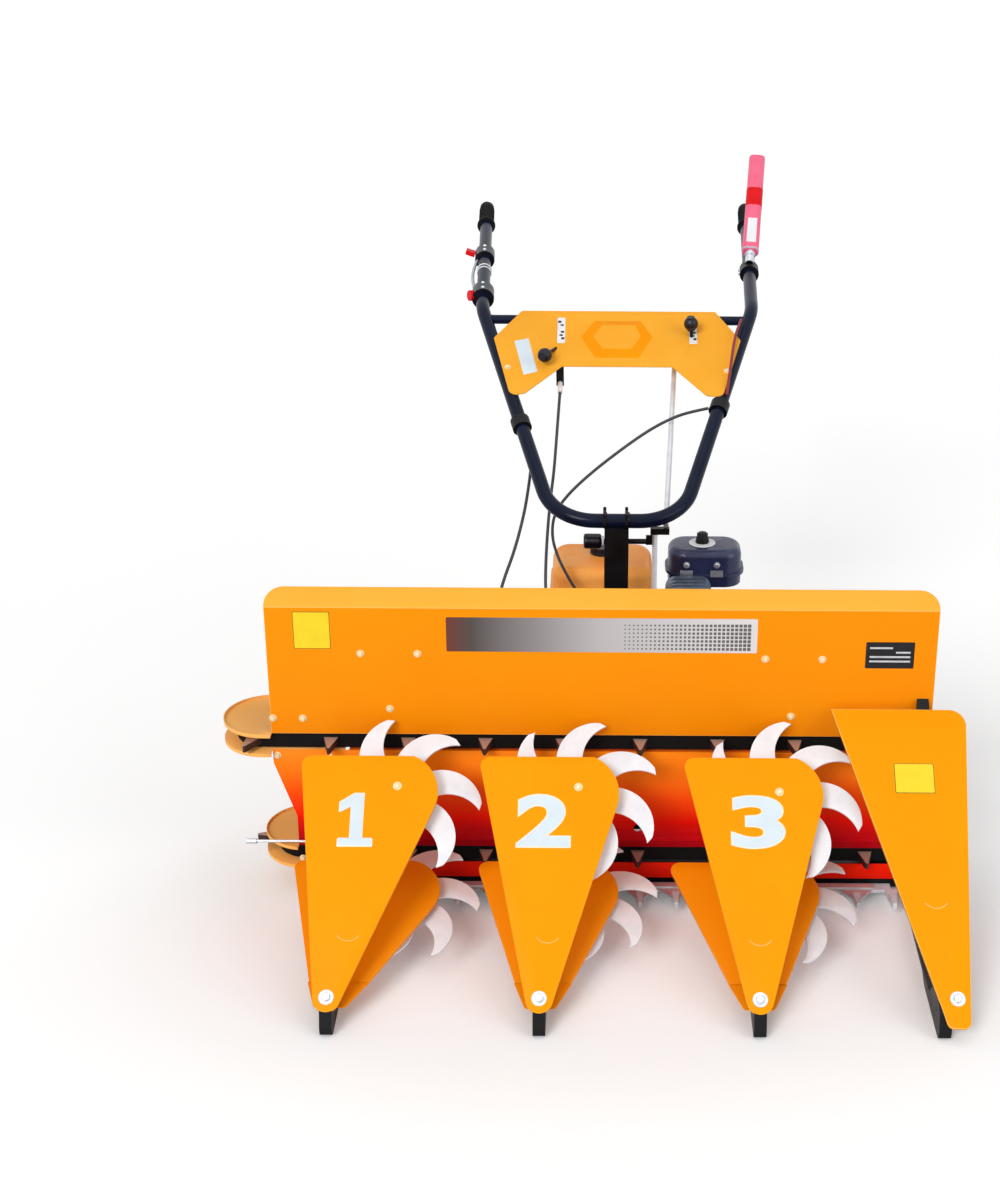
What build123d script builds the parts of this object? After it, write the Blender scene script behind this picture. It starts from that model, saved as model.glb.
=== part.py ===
# Walk-behind mini reaper: a 1.2 m header with three row dividers on a two-wheel power unit.
# While modelling, X runs across with 0 on the power unit's centre line, Y runs back from the
# divider tips (0) to the grips, and Z up from the ground. The whole machine is moved once, at
# the end, so that the origin lies on the ground under its middle. Millimetres.
from build123d import *
import math
import os

# Header sheets
WALL_Y = 480.0
SHEET = 2.5
PANEL_LEFT = -709.0
PANEL_RIGHT = 644.0
PANEL_TOP = 667.0
PANEL_RETURN = 18.0
FLANGE_LENGTH = 45.0
FLANGE_CORNER = 38.0
FLANGE_LEAN = 45.0
SLOT_HEIGHT = 38.0
UPPER_SLOT_Z = 364.5
LOWER_SLOT_Z = 100.5
SKIRT_BOTTOM = 45.0
MID_CORNER_X = -667.0
MID_CORNER_Z = 189.0
MID_SHOULDER_Z = 315.0
SWAGE_Z = 138.0
SWAGE_DEPTH = 4.0
SWAGE_HALF = 6.0
INSPECTION_X = 45.0
INSPECTION_Z = 165.0
INSPECTION_R = 8.0

# Gathering belts, their pulleys and lugs
BELT_HEIGHT = 30.0
BELT_THICK = 6.0
PULLEY_R = 60.0
PULLEY_RIM = 7.0
PULLEY_WEB = 6.0
PULLEY_HUB_R = 24.0
PULLEY_EDGE = 1.0
BELT_SETBACK = 6.0
SEAT_GAP = 0.3
LUG_PITCH = 158.0
LUG_LENGTH = 46.0
LUG_BASE = 30.0
LUG_TIP = 5.0
LUG_HEIGHT = 16.0
DRIVE_PULLEY_X = 577.0
UPPER_IDLER_X = -726.0
LOWER_IDLER_X = -653.0
FIRST_LUG_X = 366.0
SHAFT_R = 10.0

# Discharge guards round the belt ends
NOSE_R = 93.0
NOSE_PLATE = 2.0
NOSE_LIP = 8.0
NOSE_GAP = 3.0
NOSE_INNER_X = -560.0
GUIDE_WIRE_R = 3.0
GUIDE_WIRE_Z = 130.5
GUIDE_WIRE_X = (-777.0, -650.0)
GUIDE_TIP_R = 6.0
GUIDE_TIP_LENGTH = 22.0

# Frame behind the sheets
CHANNEL_HEIGHT = 36.0
CHANNEL_WALL = 4.0
CHANNEL_REAR = 96.0
BEAM_LEFT = -600.0
BEAM_RIGHT = 640.0
POST_X = (-330.0, 300.0)
POST = 50.0
MID_BEAM_Z = (205.0, 245.0)
MID_BEAM_DEPTH = 34.0
GEAR_CASE_HALF = 75.0
GEAR_CASE_Z = (165.0, 305.0)
DRIVE_TUBE_R = 48.0
DRIVE_FLANGE_R = 74.0
DRIVE_FLANGE = 12.0
DRIVE_Z = 235.0

# Cutter bar and knife
CUT_WIDTH = 1216.0
CUT_CENTRE_X = -25.0
GUARD_PITCH = 76.0
GUARD_TIP_Y = 394.0
GUARD_SLOT_Y = 405.0
GUARD_LIP_END_Y = 436.0
GUARD_LIP = 3.5
BAR_FRONT_Y = 458.0
BAR_THICK = 8.0
KNIFE_THICK = 3.0
KNIFE_TIP_Y = 412.0
KNIFE_REAR_Y = 472.0
KNIFE_BACK = 16.0
KNIFE_STROKE = 50.0
KNIFE_FIT = 0.3

# Dividers: an upper and a lower cover, with a star wheel under each
UPPER_LEAN = 40.5
LOWER_LEAN = 16.7
UPPER_TIP_Z = 70.0
LOWER_TIP_Z = 40.0
STAR_TEETH = 7
UPPER_STAR_R = 170.0
LOWER_STAR_R = 166.0
UPPER_STAR_T = 415.0
LOWER_STAR_T = 305.0
UPPER_STAR_DROP = 35.0
LOWER_STAR_DROP = 27.0
STAR_THICK = 5.0
STAR_ROOT_R = 70.0
STAR_RIM_R = 64.0
STAR_RIM_WALL = 5.0
STAR_HUB_R = 26.0
STAR_HUB_HALF = 9.0
STAR_RIM_HALF = 5.0
PIN_R = 8.0
PIN_COLLAR = 5.0
PIN_FIT = 0.05
COVER_SHEET = 2.0
COVER_RIM = 6.0
COVER_TIP_R = 26.0
UPPER_COVER_LENGTH = 492.0
LOWER_COVER_LENGTH = 384.0
LOWER_COVER_FRONT_Y = 66.0
COVER_STAR_R = 84.0
COVER_CORNER_R = 20.0
BRACKET_WIDTH = 34.0
BRACKET_THICK = 6.0
BRACKET_HALF_LENGTH = 22.0
ARM_WIDTH = 24.0
ARM_Z = 14.0
ARM_BAR = 10.0
ARM_REAR_Y = 560.0
SHOE_NOSE_Y = -30.0

# name, tip x, star axle's offset to the right, left corner of the upper and of the lower
# cover, and the place of one tooth on the upper and on the lower star (rad)
DIVIDERS = (
    ("a", -550.0, 110.0, 80.0, 106.0, 1.69, 0.75),
    ("b", -147.0, 67.0, 126.0, 133.0, 2.16, 0.99),
    ("c", 272.0, 54.0, 137.0, 160.0, 2.34, 0.52),
)

# Side divider at the right end
SIDE_TIP_X = 646.0
SIDE_LEAN = 40.0
SIDE_TIP_Z = 72.0
SIDE_LENGTH = 600.0
SIDE_LEFT = 212.0
SIDE_RIGHT = 62.0
SIDE_CORNER_R = 34.0
SIDE_ARM_X = (-36.0, -12.0)
SIDE_BAR_HEIGHT = 20.0

# Running gear
AXLE_Y = 980.0
TYRE_R = 205.0
CARCASS_R = 191.0
SHOULDER_R = 176.0
CROWN_HALF = 44.5
TYRE_HALF = 50.0
BEAD_R = 106.0
BEAD_HALF = 38.0
LUGS_PER_SIDE = 10
TREAD_LUG = (16.0, 15.0, 40.0)
TREAD_LUG_OFFSET = 22.0
TREAD_LUG_TURN = 32.0
RIM_WALL = 3.5
RIM_DROP_R = 90.0
RIM_LIP_R = 116.0
DISC_THICK = 5.0
DISC_HOLES = 6
DISC_HOLE_R = 13.0
DISC_HOLE_CIRCLE = 62.0
HUB_R = 30.0
HUB_HALF = 34.0
TRACK = 580.0
AXLE_R = 12.5
AXLE_TUBE_R = 24.0
AXLE_TUBE_GAP = 18.0
RUNNING_FIT = 0.05

# Transmission, stem
GEARBOX_FRONT_Y = 760.0
GEARBOX_HALF = 58.0
CASE_SEAM = 5.0
CASE_SEAM_HALF = 5.0
# y, z and radius of the case's lobes: front drive, input shaft, axle, stem foot
CASE_LOBES = ((818.0, 235.0, 58.0), (935.0, 318.0, 66.0), (980.0, 205.0, 70.0), (885.0, 372.0, 44.0))
STEM = 53.0
STEM_X = -1.5
STEM_Y = 900.0
STEM_FOOT_Z = 395.0

# Power unit
INPUT_Z = 318.0
BELL_Y = (985.0, 1062.0)
BELL_R = (70.0, 88.0)
CRANKCASE_X = (-92.0, 92.0)
ENGINE_Y = (1062.0, 1232.0)
ENGINE_BASE_Z = 218.0
CRANKCASE_TOP = 348.0
CYLINDER_LEAN = 62.0
CYLINDER_LENGTH = 88.0
CYLINDER_SIZE = 96.0
FIN_COUNT = 7
FIN_THICK = 3.0
FIN_SIZE = 122.0
BLOWER_R = 98.0
BLOWER_DEPTH = 46.0
RECOIL_R = 84.0
RECOIL_DEPTH = 34.0
BED_THICK = 10.0
TANK_X = (-148.0, 84.0)
TANK_Y = (1050.0, 1236.0)
TANK_Z = (418.0, 512.0)
TANK_CORNER = 42.0
TANK_SEAM = 5.0
CAP_R = 27.0
CAP_HEIGHT = 18.0
FILTER_X = (126.0, 300.0)
FILTER_Y = (1196.0, 1316.0)
FILTER_Z = (410.0, 500.0)
FILTER_RIM = 7.0
MUFFLER_X = (118.0, 226.0)
MUFFLER_Y = (1080.0, 1180.0)
MUFFLER_Z = (372.0, 446.0)
OUTLET_R = 12.0

# Handles, in the plane of the two legs: t runs up the legs from the bottom of the loop
TUBE_R = 16.0
TUBE_WALL = 2.0
HANDLE_Z = 693.0
HANDLE_BOTTOM_HALF = 140.0
HANDLE_BEND = (325.0, 1516.0, 1000.0)
HANDLE_END = (352.0, 2225.0, 1090.0)
BOTTOM_BEND_R = 120.0
TOP_BEND_R = 150.0
GRIP_R = 19.0
GRIP_LENGTH = 135.0
GRIP_CAP = 5.0
CROSSBAR_T = 652.0
CROSSBAR_R = 11.0
DASH_SHEET = 2.5
DASH_TOP = 11.0
DASH_NOTCH = -181.0
DASH_LOW = -280.0
DASH_BOSS = 5.0
HEXAGON_DROP = 86.0
SLOT_LENGTH = 92.0
GATE_DEPTH = 2.0
SLOT_WIDTH = 20.0
LEFT_SLOT_X = -133.0
RIGHT_SLOT_X = 180.0
SLOT_DROP = 56.0
KNOB_R = 17.0
LEVER_R = 4.0
ROD_R = 6.0
GEAR_KNOB = (-34.0, 632.0)
SHIFT_ROD_TOP = (138.0, 1420.0, 905.0)
SHIFT_ROD_BOTTOM = (108.0, 940.0, 668.0)
LINK_X = (74.0, 116.0)
CABLE_CLIPS = ((-1, 296.0), (1, 354.0))

# Control cables: outer radius, then the points that each one passes, from end to end
CABLE_R = 3.5
CABLES = (
    ("cable_gearbox", (
        (-134, 1309.4, 855.6), (-139, 1232, 790), (-144, 1150, 722), (-150, 1092, 682), (-155, 1040, 638),
        (-159, 985, 574), (-160, 945, 508), (-152, 921, 446), (-130, 906, 394), (-98, 898, 361), (-59, 897, 352),
    )),
    ("cable_header", (
        (-200.6, 1162, 806.6), (-194, 1126, 783), (-194, 1086, 757), (-198, 1036, 725), (-206, 960, 685),
        (-224, 868, 634), (-248, 786, 590), (-262, 722, 540), (-266, 676, 486), (-263, 640, 446),
        (-260, 606, 430), (-259, 576.4, 427),
    )),
    ("cable_clutch", (
        (210.7, 1217, 850), (174, 1214, 843), (134, 1209, 832), (78, 1197, 806), (11, 1180, 762), (-58, 1148, 716),
        (-112, 1110, 676), (-143, 1080, 640), (-148, 1050, 598), (-135, 1028, 558), (-113, 1010, 518),
        (-86, 998, 476), (-62, 1000, 440), (-46, 1010, 410), (-40, 1018, 385.4),
    )),
    ("cable_throttle", (
        (296, 1452, 996), (289, 1426, 989), (281, 1398, 978), (274, 1362, 962), (268, 1322, 941),
        (262, 1285, 918), (257, 1256, 898), (252, 1232, 878),
    )),
)
CLUTCH_STOP = (-40.0, 1018.0, 384.0)
HEADER_STOP_X = -259.0
HEADER_STOP_Y = (562.0, 576.0)
HEADER_STOP_HEIGHT = 14.0
FERRULE = (-134.0, -212.0, -37.0)
FERRULE_R = 6.0
FERRULE_LENGTH = 40.0

top_channel_z = UPPER_SLOT_Z + BELT_HEIGHT / 2 + NOSE_GAP + NOSE_PLATE
low_channel_top = LOWER_SLOT_Z - BELT_HEIGHT / 2 - NOSE_GAP - NOSE_PLATE
low_channel_z = ARM_Z + ARM_BAR
inner_belt_r = PULLEY_R + SEAT_GAP
belt_outer_r = inner_belt_r + BELT_THICK
belt_y = WALL_Y + BELT_SETBACK + belt_outer_r
dash_top_t = CROSSBAR_T + DASH_TOP
dash_notch_t = CROSSBAR_T + DASH_NOTCH
dash_low_t = CROSSBAR_T + DASH_LOW
slot_t = CROSSBAR_T - SLOT_DROP
channel_rear_y = belt_y + CHANNEL_REAR / 2
axle_z = TYRE_R
axle_tube_end = TRACK / 2 - HUB_HALF - AXLE_TUBE_GAP
UPWARD = (Align.CENTER, Align.CENTER, Align.MIN)
DOWNWARD = (Align.CENTER, Align.CENTER, Align.MAX)
nodes = {}


def block(x, y, z):
    """A box from its three (low, high) pairs."""
    size = [hi - lo for lo, hi in (x, y, z)]
    centre = [(lo + hi) / 2 for lo, hi in (x, y, z)]
    return Pos(*centre) * Box(*size)


def rod(start, end, radius):
    """A round bar between two points."""
    axis = Vector(*end) - Vector(*start)
    return Plane(origin=start, z_dir=axis) * Cylinder(radius, axis.length, align=UPWARD)


def bent_tube(points, radii, radius, wall=0.0):
    """A round tube along straight runs joined by tangent arcs."""
    path = FilletPolyline(*points, radius=radii)
    plane = Plane(origin=path @ 0, z_dir=path % 0)
    section = plane * Circle(radius)
    if wall:
        section -= plane * Circle(radius - wall)
    return sweep(section, path=path)


def across(profile, x_low, x_high):
    """Extrudes a (y, z) outline from x_low to x_high."""
    face = make_face(Polyline(*[(0, y, z) for y, z in profile], close=True))
    return Pos(x_low, 0, 0) * extrude(face, amount=x_high - x_low, dir=(1, 0, 0))


def sheet(plane, face, low, high):
    """A flat sheet between two heights over the plane."""
    return plane * (Pos(0, 0, low) * extrude(face, amount=high - low))


def rimmed_sheet(plane, face):
    """A pressed sheet with its edge folded down."""
    rim = face - offset(face, amount=-COVER_SHEET)
    return sheet(plane, face, -COVER_SHEET, 0) + sheet(plane, rim, -COVER_SHEET - COVER_RIM, -COVER_SHEET)


def turned(profile, place, turn=360.0):
    """Revolves a (radius, height) outline about the place's Z axis."""
    face = make_face(Polyline(*[(r, 0, h) for r, h in profile], close=True))
    return place * revolve(face, axis=Axis.Z, revolution_arc=turn)


def leaning_plane(x, tip_z, lean):
    """Local X across, local Y up the slope, local Z square to it."""
    a = math.radians(lean)
    return Plane(origin=(x, 0, tip_z), x_dir=(1, 0, 0), z_dir=(0, -math.sin(a), math.cos(a)))


def handle_plane():
    """The plane of the two handle legs."""
    slope = math.atan2(HANDLE_BEND[2] - HANDLE_Z, HANDLE_BEND[1] - STEM_Y)
    return Plane(origin=(0, STEM_Y, HANDLE_Z), x_dir=(1, 0, 0), z_dir=(0, -math.sin(slope), math.cos(slope)))


def header_sheets():
    width = PANEL_RIGHT - PANEL_LEFT
    middle = (PANEL_LEFT + PANEL_RIGHT) / 2
    wall = (WALL_Y, WALL_Y + SHEET)
    slot_half = SLOT_HEIGHT / 2
    back_low = UPPER_SLOT_Z + slot_half
    back = block((PANEL_LEFT, PANEL_RIGHT), wall, (back_low, PANEL_TOP))
    flange = Box(width, FLANGE_LENGTH, SHEET, align=(Align.CENTER, Align.MIN, Align.MAX))
    flange = fillet(flange.edges().filter_by(Axis.Z).sort_by(Axis.Y)[-2:], FLANGE_CORNER)
    back += Pos(middle, WALL_Y, PANEL_TOP) * (Rot(FLANGE_LEAN, 0, 0) * flange)
    deep = (WALL_Y, WALL_Y + PANEL_RETURN)
    for x in ((PANEL_LEFT, PANEL_LEFT + SHEET), (PANEL_RIGHT - SHEET, PANEL_RIGHT)):
        back += block(x, deep, (back_low + CHANNEL_HEIGHT, PANEL_TOP - PANEL_RETURN))
    nodes["header_back_panel"] = back
    front = Plane(origin=(0, WALL_Y, 0), x_dir=(1, 0, 0), z_dir=(0, -1, 0))
    outline = Polyline(
        (PANEL_LEFT, UPPER_SLOT_Z - slot_half), (PANEL_LEFT, MID_SHOULDER_Z), (MID_CORNER_X, MID_CORNER_Z),
        (MID_CORNER_X, LOWER_SLOT_Z + slot_half), (PANEL_RIGHT, LOWER_SLOT_Z + slot_half),
        (PANEL_RIGHT, UPPER_SLOT_Z - slot_half), close=True,
    )
    mid = sheet(front, make_face(outline), -SHEET, 0)
    swage = (
        (WALL_Y, SWAGE_Z - SWAGE_HALF), (WALL_Y - SWAGE_DEPTH, SWAGE_Z - SWAGE_HALF / 3),
        (WALL_Y - SWAGE_DEPTH, SWAGE_Z + SWAGE_HALF / 3), (WALL_Y, SWAGE_Z + SWAGE_HALF),
    )
    mid += across(swage, MID_CORNER_X + 30, PANEL_RIGHT - 30)
    hole = rod((INSPECTION_X, WALL_Y - 20, INSPECTION_Z), (INSPECTION_X, WALL_Y + 20, INSPECTION_Z), INSPECTION_R)
    nodes["header_mid_panel"] = mid - hole
    nodes["header_skirt"] = block((MID_CORNER_X, PANEL_RIGHT), wall, (SKIRT_BOTTOM, LOWER_SLOT_Z - slot_half))


def racetrack(x_low, x_high, radius, z, height):
    """A closed loop's outer form: two half circles and the straights between them."""
    ring = SlotCenterToCenter(x_high - x_low, 2 * radius)
    return Pos((x_low + x_high) / 2, belt_y, z - height / 2) * extrude(ring, amount=height)


def lug_places(idler_x):
    """x, y and outward angle of every lug, evenly spaced round the loop."""
    straight = DRIVE_PULLEY_X - idler_x
    turn = math.pi * belt_outer_r
    neutral = 2 * straight + 2 * math.pi * (inner_belt_r + BELT_THICK / 2)
    count = round(neutral / LUG_PITCH)
    total = 2 * (straight + turn)
    for i in range(count):
        s = (DRIVE_PULLEY_X - FIRST_LUG_X + i * total / count) % total
        on_front = s < straight
        on_rear = straight + turn < s < 2 * straight + turn
        if on_front:
            yield DRIVE_PULLEY_X - s, belt_y - belt_outer_r, -90.0
        elif on_rear:
            yield idler_x + s - straight - turn, belt_y + belt_outer_r, 90.0
        else:
            around_idler = s < straight + turn
            start = straight if around_idler else 2 * straight + turn
            angle = (-90.0 if around_idler else 90.0) - math.degrees((s - start) / belt_outer_r)
            centre = idler_x if around_idler else DRIVE_PULLEY_X
            a = math.radians(angle)
            yield centre + belt_outer_r * math.cos(a), belt_y + belt_outer_r * math.sin(a), angle


def gathering_belts():
    outline = Polyline(
        (-BELT_THICK / 3, -LUG_BASE / 2), (LUG_LENGTH, -LUG_TIP / 2), (LUG_LENGTH, LUG_TIP / 2),
        (-BELT_THICK / 3, LUG_BASE / 2), close=True,
    )
    lug = Pos(0, 0, -LUG_HEIGHT / 2) * extrude(make_face(outline), amount=LUG_HEIGHT)
    for name, idler_x, z in (("upper", UPPER_IDLER_X, UPPER_SLOT_Z), ("lower", LOWER_IDLER_X, LOWER_SLOT_Z)):
        outer = racetrack(idler_x, DRIVE_PULLEY_X, belt_outer_r, z, BELT_HEIGHT)
        hollow = racetrack(idler_x, DRIVE_PULLEY_X, inner_belt_r, z, BELT_HEIGHT + 2)
        nodes[name + "_belt"] = outer - hollow
        lugs = [Pos(x, y, z) * Rot(0, 0, turn) * lug - outer for x, y, turn in lug_places(idler_x)]
        nodes[name + "_belt_lugs"] = Compound(children=lugs)


def drum(x, z):
    """A belt pulley: rim, web and hub."""
    half = BELT_HEIGHT / 2 + PULLEY_EDGE
    web = PULLEY_WEB / 2
    profile = (
        (0, -half), (PULLEY_HUB_R, -half), (PULLEY_HUB_R, -web), (PULLEY_R - PULLEY_RIM, -web),
        (PULLEY_R - PULLEY_RIM, -half), (PULLEY_R, -half), (PULLEY_R, half), (PULLEY_R - PULLEY_RIM, half),
        (PULLEY_R - PULLEY_RIM, web), (PULLEY_HUB_R, web), (PULLEY_HUB_R, half), (0, half),
    )
    return turned(profile, Pos(x, belt_y, z))


def pulleys():
    shaft_top = top_channel_z + CHANNEL_HEIGHT - CHANNEL_WALL
    shaft = rod((DRIVE_PULLEY_X, belt_y, low_channel_top), (DRIVE_PULLEY_X, belt_y, shaft_top), SHAFT_R)
    nodes["belt_drive_pulleys"] = drum(DRIVE_PULLEY_X, LOWER_SLOT_Z) + drum(DRIVE_PULLEY_X, UPPER_SLOT_Z) + shaft
    idlers = []
    reach = BELT_HEIGHT / 2 + NOSE_GAP
    for x, z in ((UPPER_IDLER_X, UPPER_SLOT_Z), (LOWER_IDLER_X, LOWER_SLOT_Z)):
        idlers.append(drum(x, z) + rod((x, belt_y, z - reach), (x, belt_y, z + reach), SHAFT_R))
    nodes["belt_idler_pulleys"] = Compound(children=idlers)


def discharge_guards():
    """Two half-round sheets at each belt end, with their edges turned away from the belt."""
    reach = BELT_HEIGHT / 2 + NOSE_GAP
    rows = (
        ("upper", UPPER_IDLER_X, UPPER_SLOT_Z, PANEL_LEFT),
        ("lower", LOWER_IDLER_X, LOWER_SLOT_Z, MID_CORNER_X),
    )
    for name, idler_x, z, sheet_edge in rows:
        face = Pos(idler_x, belt_y) * Circle(NOSE_R)
        face += Pos((idler_x + NOSE_INNER_X) / 2, belt_y) * Rectangle(NOSE_INNER_X - idler_x, 2 * NOSE_R)
        face -= Pos(sheet_edge + 500, WALL_Y + SHEET - 500) * Rectangle(1000, 1000)
        lip = Pos(idler_x, belt_y) * (Circle(NOSE_R) - Circle(NOSE_R - NOSE_PLATE))
        lip -= Pos(sheet_edge + 500, belt_y) * Rectangle(1000, 1000)
        low = sheet(Plane.XY, face, z - reach - NOSE_PLATE, z - reach)
        low += sheet(Plane.XY, lip, z - reach - NOSE_LIP, z - reach)
        high = sheet(Plane.XY, face, z + reach, z + reach + NOSE_PLATE)
        high += sheet(Plane.XY, lip, z + reach, z + reach + NOSE_LIP)
        nodes[name + "_discharge_guard"] = Compound(children=[low, high])
    y = WALL_Y - GUIDE_WIRE_R
    wire = rod((GUIDE_WIRE_X[0], y, GUIDE_WIRE_Z), (GUIDE_WIRE_X[1], y, GUIDE_WIRE_Z), GUIDE_WIRE_R)
    tip_end = GUIDE_WIRE_X[0] + GUIDE_TIP_LENGTH
    wire += rod((GUIDE_WIRE_X[0], y, GUIDE_WIRE_Z), (tip_end, y, GUIDE_WIRE_Z), GUIDE_TIP_R)
    nodes["guide_wire"] = wire


def channel(z_low, z_high):
    """A folded channel, open below."""
    front, rear, wall = WALL_Y + SHEET, channel_rear_y, CHANNEL_WALL
    profile = (
        (front, z_low), (front, z_high), (rear, z_high), (rear, z_low), (rear - wall, z_low),
        (rear - wall, z_high - wall), (front + wall, z_high - wall), (front + wall, z_low),
    )
    return across(profile, BEAM_LEFT, BEAM_RIGHT)


def header_frame():
    top = channel(top_channel_z, top_channel_z + CHANNEL_HEIGHT)
    frame = top + channel(low_channel_z, low_channel_top)
    front = WALL_Y + SHEET
    frame += block((BEAM_LEFT, BEAM_RIGHT), (front, front + MID_BEAM_DEPTH), MID_BEAM_Z)
    post_top = top_channel_z + CHANNEL_HEIGHT - CHANNEL_WALL / 2
    for x in POST_X:
        side = (x - POST / 2, x + POST / 2)
        frame += block(side, (belt_y - POST / 2, belt_y + POST / 2), (low_channel_top - CHANNEL_WALL / 2, post_top))
        frame += block(side, (front, belt_y), MID_BEAM_Z)
    stop_x = (HEADER_STOP_X - 2 * CABLE_R, HEADER_STOP_X + 2 * CABLE_R)
    channel_top = top_channel_z + CHANNEL_HEIGHT
    frame += block(stop_x, HEADER_STOP_Y, (channel_top - 1, channel_top + HEADER_STOP_HEIGHT))
    nodes["header_frame"] = frame
    case_y = (front + MID_BEAM_DEPTH, belt_y + 48)
    case = block((-GEAR_CASE_HALF, GEAR_CASE_HALF), case_y, GEAR_CASE_Z)
    case = fillet(case.edges().filter_by(Axis.Y), 22)
    profile = (
        (0, 0), (DRIVE_FLANGE_R, 0), (DRIVE_FLANGE_R, DRIVE_FLANGE), (DRIVE_TUBE_R + 10, DRIVE_FLANGE),
        (DRIVE_TUBE_R, DRIVE_FLANGE + 14), (DRIVE_TUBE_R, GEARBOX_FRONT_Y - case_y[1] - DRIVE_FLANGE - 14),
        (DRIVE_TUBE_R + 10, GEARBOX_FRONT_Y - case_y[1] - DRIVE_FLANGE),
        (DRIVE_FLANGE_R, GEARBOX_FRONT_Y - case_y[1] - DRIVE_FLANGE), (DRIVE_FLANGE_R, GEARBOX_FRONT_Y - case_y[1]),
        (0, GEARBOX_FRONT_Y - case_y[1]),
    )
    nodes["header_drive"] = case + turned(profile, Plane(origin=(0, case_y[1], DRIVE_Z), z_dir=(0, 1, 0)))


def cutter_bar():
    left = CUT_CENTRE_X - CUT_WIDTH / 2
    right = CUT_CENTRE_X + CUT_WIDTH / 2
    bar_z = ARM_Z + ARM_BAR
    bar = block((left, right), (BAR_FRONT_Y, WALL_Y + SHEET), (bar_z, bar_z + BAR_THICK))
    count = round(CUT_WIDTH / GUARD_PITCH)
    knife_z = bar_z + BAR_THICK + KNIFE_FIT
    lip_z = knife_z + KNIFE_THICK + KNIFE_FIT
    body = Polyline(
        (-4, GUARD_TIP_Y), (4, GUARD_TIP_Y), (11, GUARD_LIP_END_Y), (13, BAR_FRONT_Y + 4),
        (-13, BAR_FRONT_Y + 4), (-11, GUARD_LIP_END_Y), close=True,
    )
    lip = Polyline(
        (-4, GUARD_TIP_Y), (4, GUARD_TIP_Y), (8, GUARD_LIP_END_Y), (-8, GUARD_LIP_END_Y), close=True,
    )
    finger = Pos(0, 0, bar_z) * extrude(make_face(body), amount=BAR_THICK)
    finger += Pos(0, 0, bar_z) * extrude(make_face(lip), amount=lip_z + GUARD_LIP - bar_z)
    finger -= block((-20, 20), (GUARD_SLOT_Y, GUARD_LIP_END_Y + 1), (bar_z + BAR_THICK, lip_z))
    for i in range(count + 1):
        bar += Pos(left + i * GUARD_PITCH, 0, 0) * finger
    nodes["cutter_bar"] = bar
    blade_y = (KNIFE_REAR_Y - KNIFE_BACK, KNIFE_REAR_Y)
    half = GUARD_PITCH / 2
    blade = block((left + half, right - half), blade_y, (knife_z, knife_z + 2 * KNIFE_THICK))
    outline = Polyline(
        (-half, KNIFE_REAR_Y - 2), (-half, blade_y[0]), (-5, KNIFE_TIP_Y), (5, KNIFE_TIP_Y), (half, blade_y[0]),
        (half, KNIFE_REAR_Y - 2), close=True,
    )
    section = Pos(0, 0, knife_z) * extrude(make_face(outline), amount=KNIFE_THICK)
    for i in range(1, count):
        blade += Pos(left + i * GUARD_PITCH, 0, 0) * section
    nodes["knife"] = blade


def polar(radius, degrees):
    return radius * math.cos(math.radians(degrees)), radius * math.sin(math.radians(degrees))


def star(plane, radius, phase):
    """Seven hooked claws round a ribbed disc; the tips trail as the star turns."""
    pitch = 360.0 / STAR_TEETH
    lines = []
    for k in range(STAR_TEETH):
        a = math.degrees(phase) - k * pitch
        tip_in, tip_out = polar(radius - 3, a - 2.5), polar(radius, a + 2.5)
        lines.append(ThreePointArc(polar(STAR_ROOT_R, a + 8), polar(radius * 0.72, a + 9), tip_in))
        lines.append(Line(tip_in, tip_out))
        lines.append(ThreePointArc(tip_out, polar(radius * 0.80, a + 28), polar(STAR_ROOT_R, a + pitch)))
        lines.append(Line(polar(STAR_ROOT_R, a + pitch), polar(STAR_ROOT_R, a + pitch + 8)))
    wheel = Pos(0, 0, -STAR_THICK / 2) * extrude(make_face(lines), amount=STAR_THICK)
    rim = Cylinder(STAR_RIM_R, 2 * STAR_RIM_HALF) - Cylinder(STAR_RIM_R - STAR_RIM_WALL, 2 * STAR_RIM_HALF)
    wheel += rim + Cylinder(STAR_HUB_R, 2 * STAR_HUB_HALF)
    for k in range(STAR_TEETH):
        spoke = block((STAR_HUB_R - 2, STAR_RIM_R - 2), (-2, 2), (-STAR_RIM_HALF, STAR_RIM_HALF))
        wheel += Rot(0, 0, math.degrees(phase) + k * pitch) * spoke
    wheel -= Cylinder(PIN_R + PIN_FIT, 4 * STAR_HUB_HALF)
    return plane * wheel


def cover(plane, star_x, star_y, left, length):
    """A sheet drawn tight round the tip, the star's axle and the rear left corner."""
    corner = (-left + COVER_CORNER_R, length - COVER_CORNER_R)
    rounds = Circle(COVER_TIP_R) + Pos(star_x, star_y) * Circle(COVER_STAR_R) + Pos(*corner) * Circle(COVER_CORNER_R)
    face = make_hull(rounds.edges())
    face -= Pos(0, length + 100) * Rectangle(800, 200)
    return rimmed_sheet(plane, face)


def sheet_underside(y, tip_z, lean):
    """Height of a leaning cover's lower face at y."""
    a = math.radians(lean)
    return tip_z + y * math.tan(a) - COVER_SHEET / math.cos(a)


def star_pin(plane, star_x, t, drop):
    """The pin that carries a star and holds the cover up, with its spacer over the hub."""
    hub_low = -drop - STAR_HUB_HALF - SEAT_GAP
    hub_top = -drop + STAR_HUB_HALF + SEAT_GAP
    pin = Pos(star_x, t, hub_low) * Cylinder(PIN_R, -hub_low - COVER_SHEET, align=UPWARD)
    pin += Pos(star_x, t, hub_top) * Cylinder(PIN_R + PIN_COLLAR, -hub_top - COVER_SHEET, align=UPWARD)
    return plane * pin, hub_low


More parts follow.
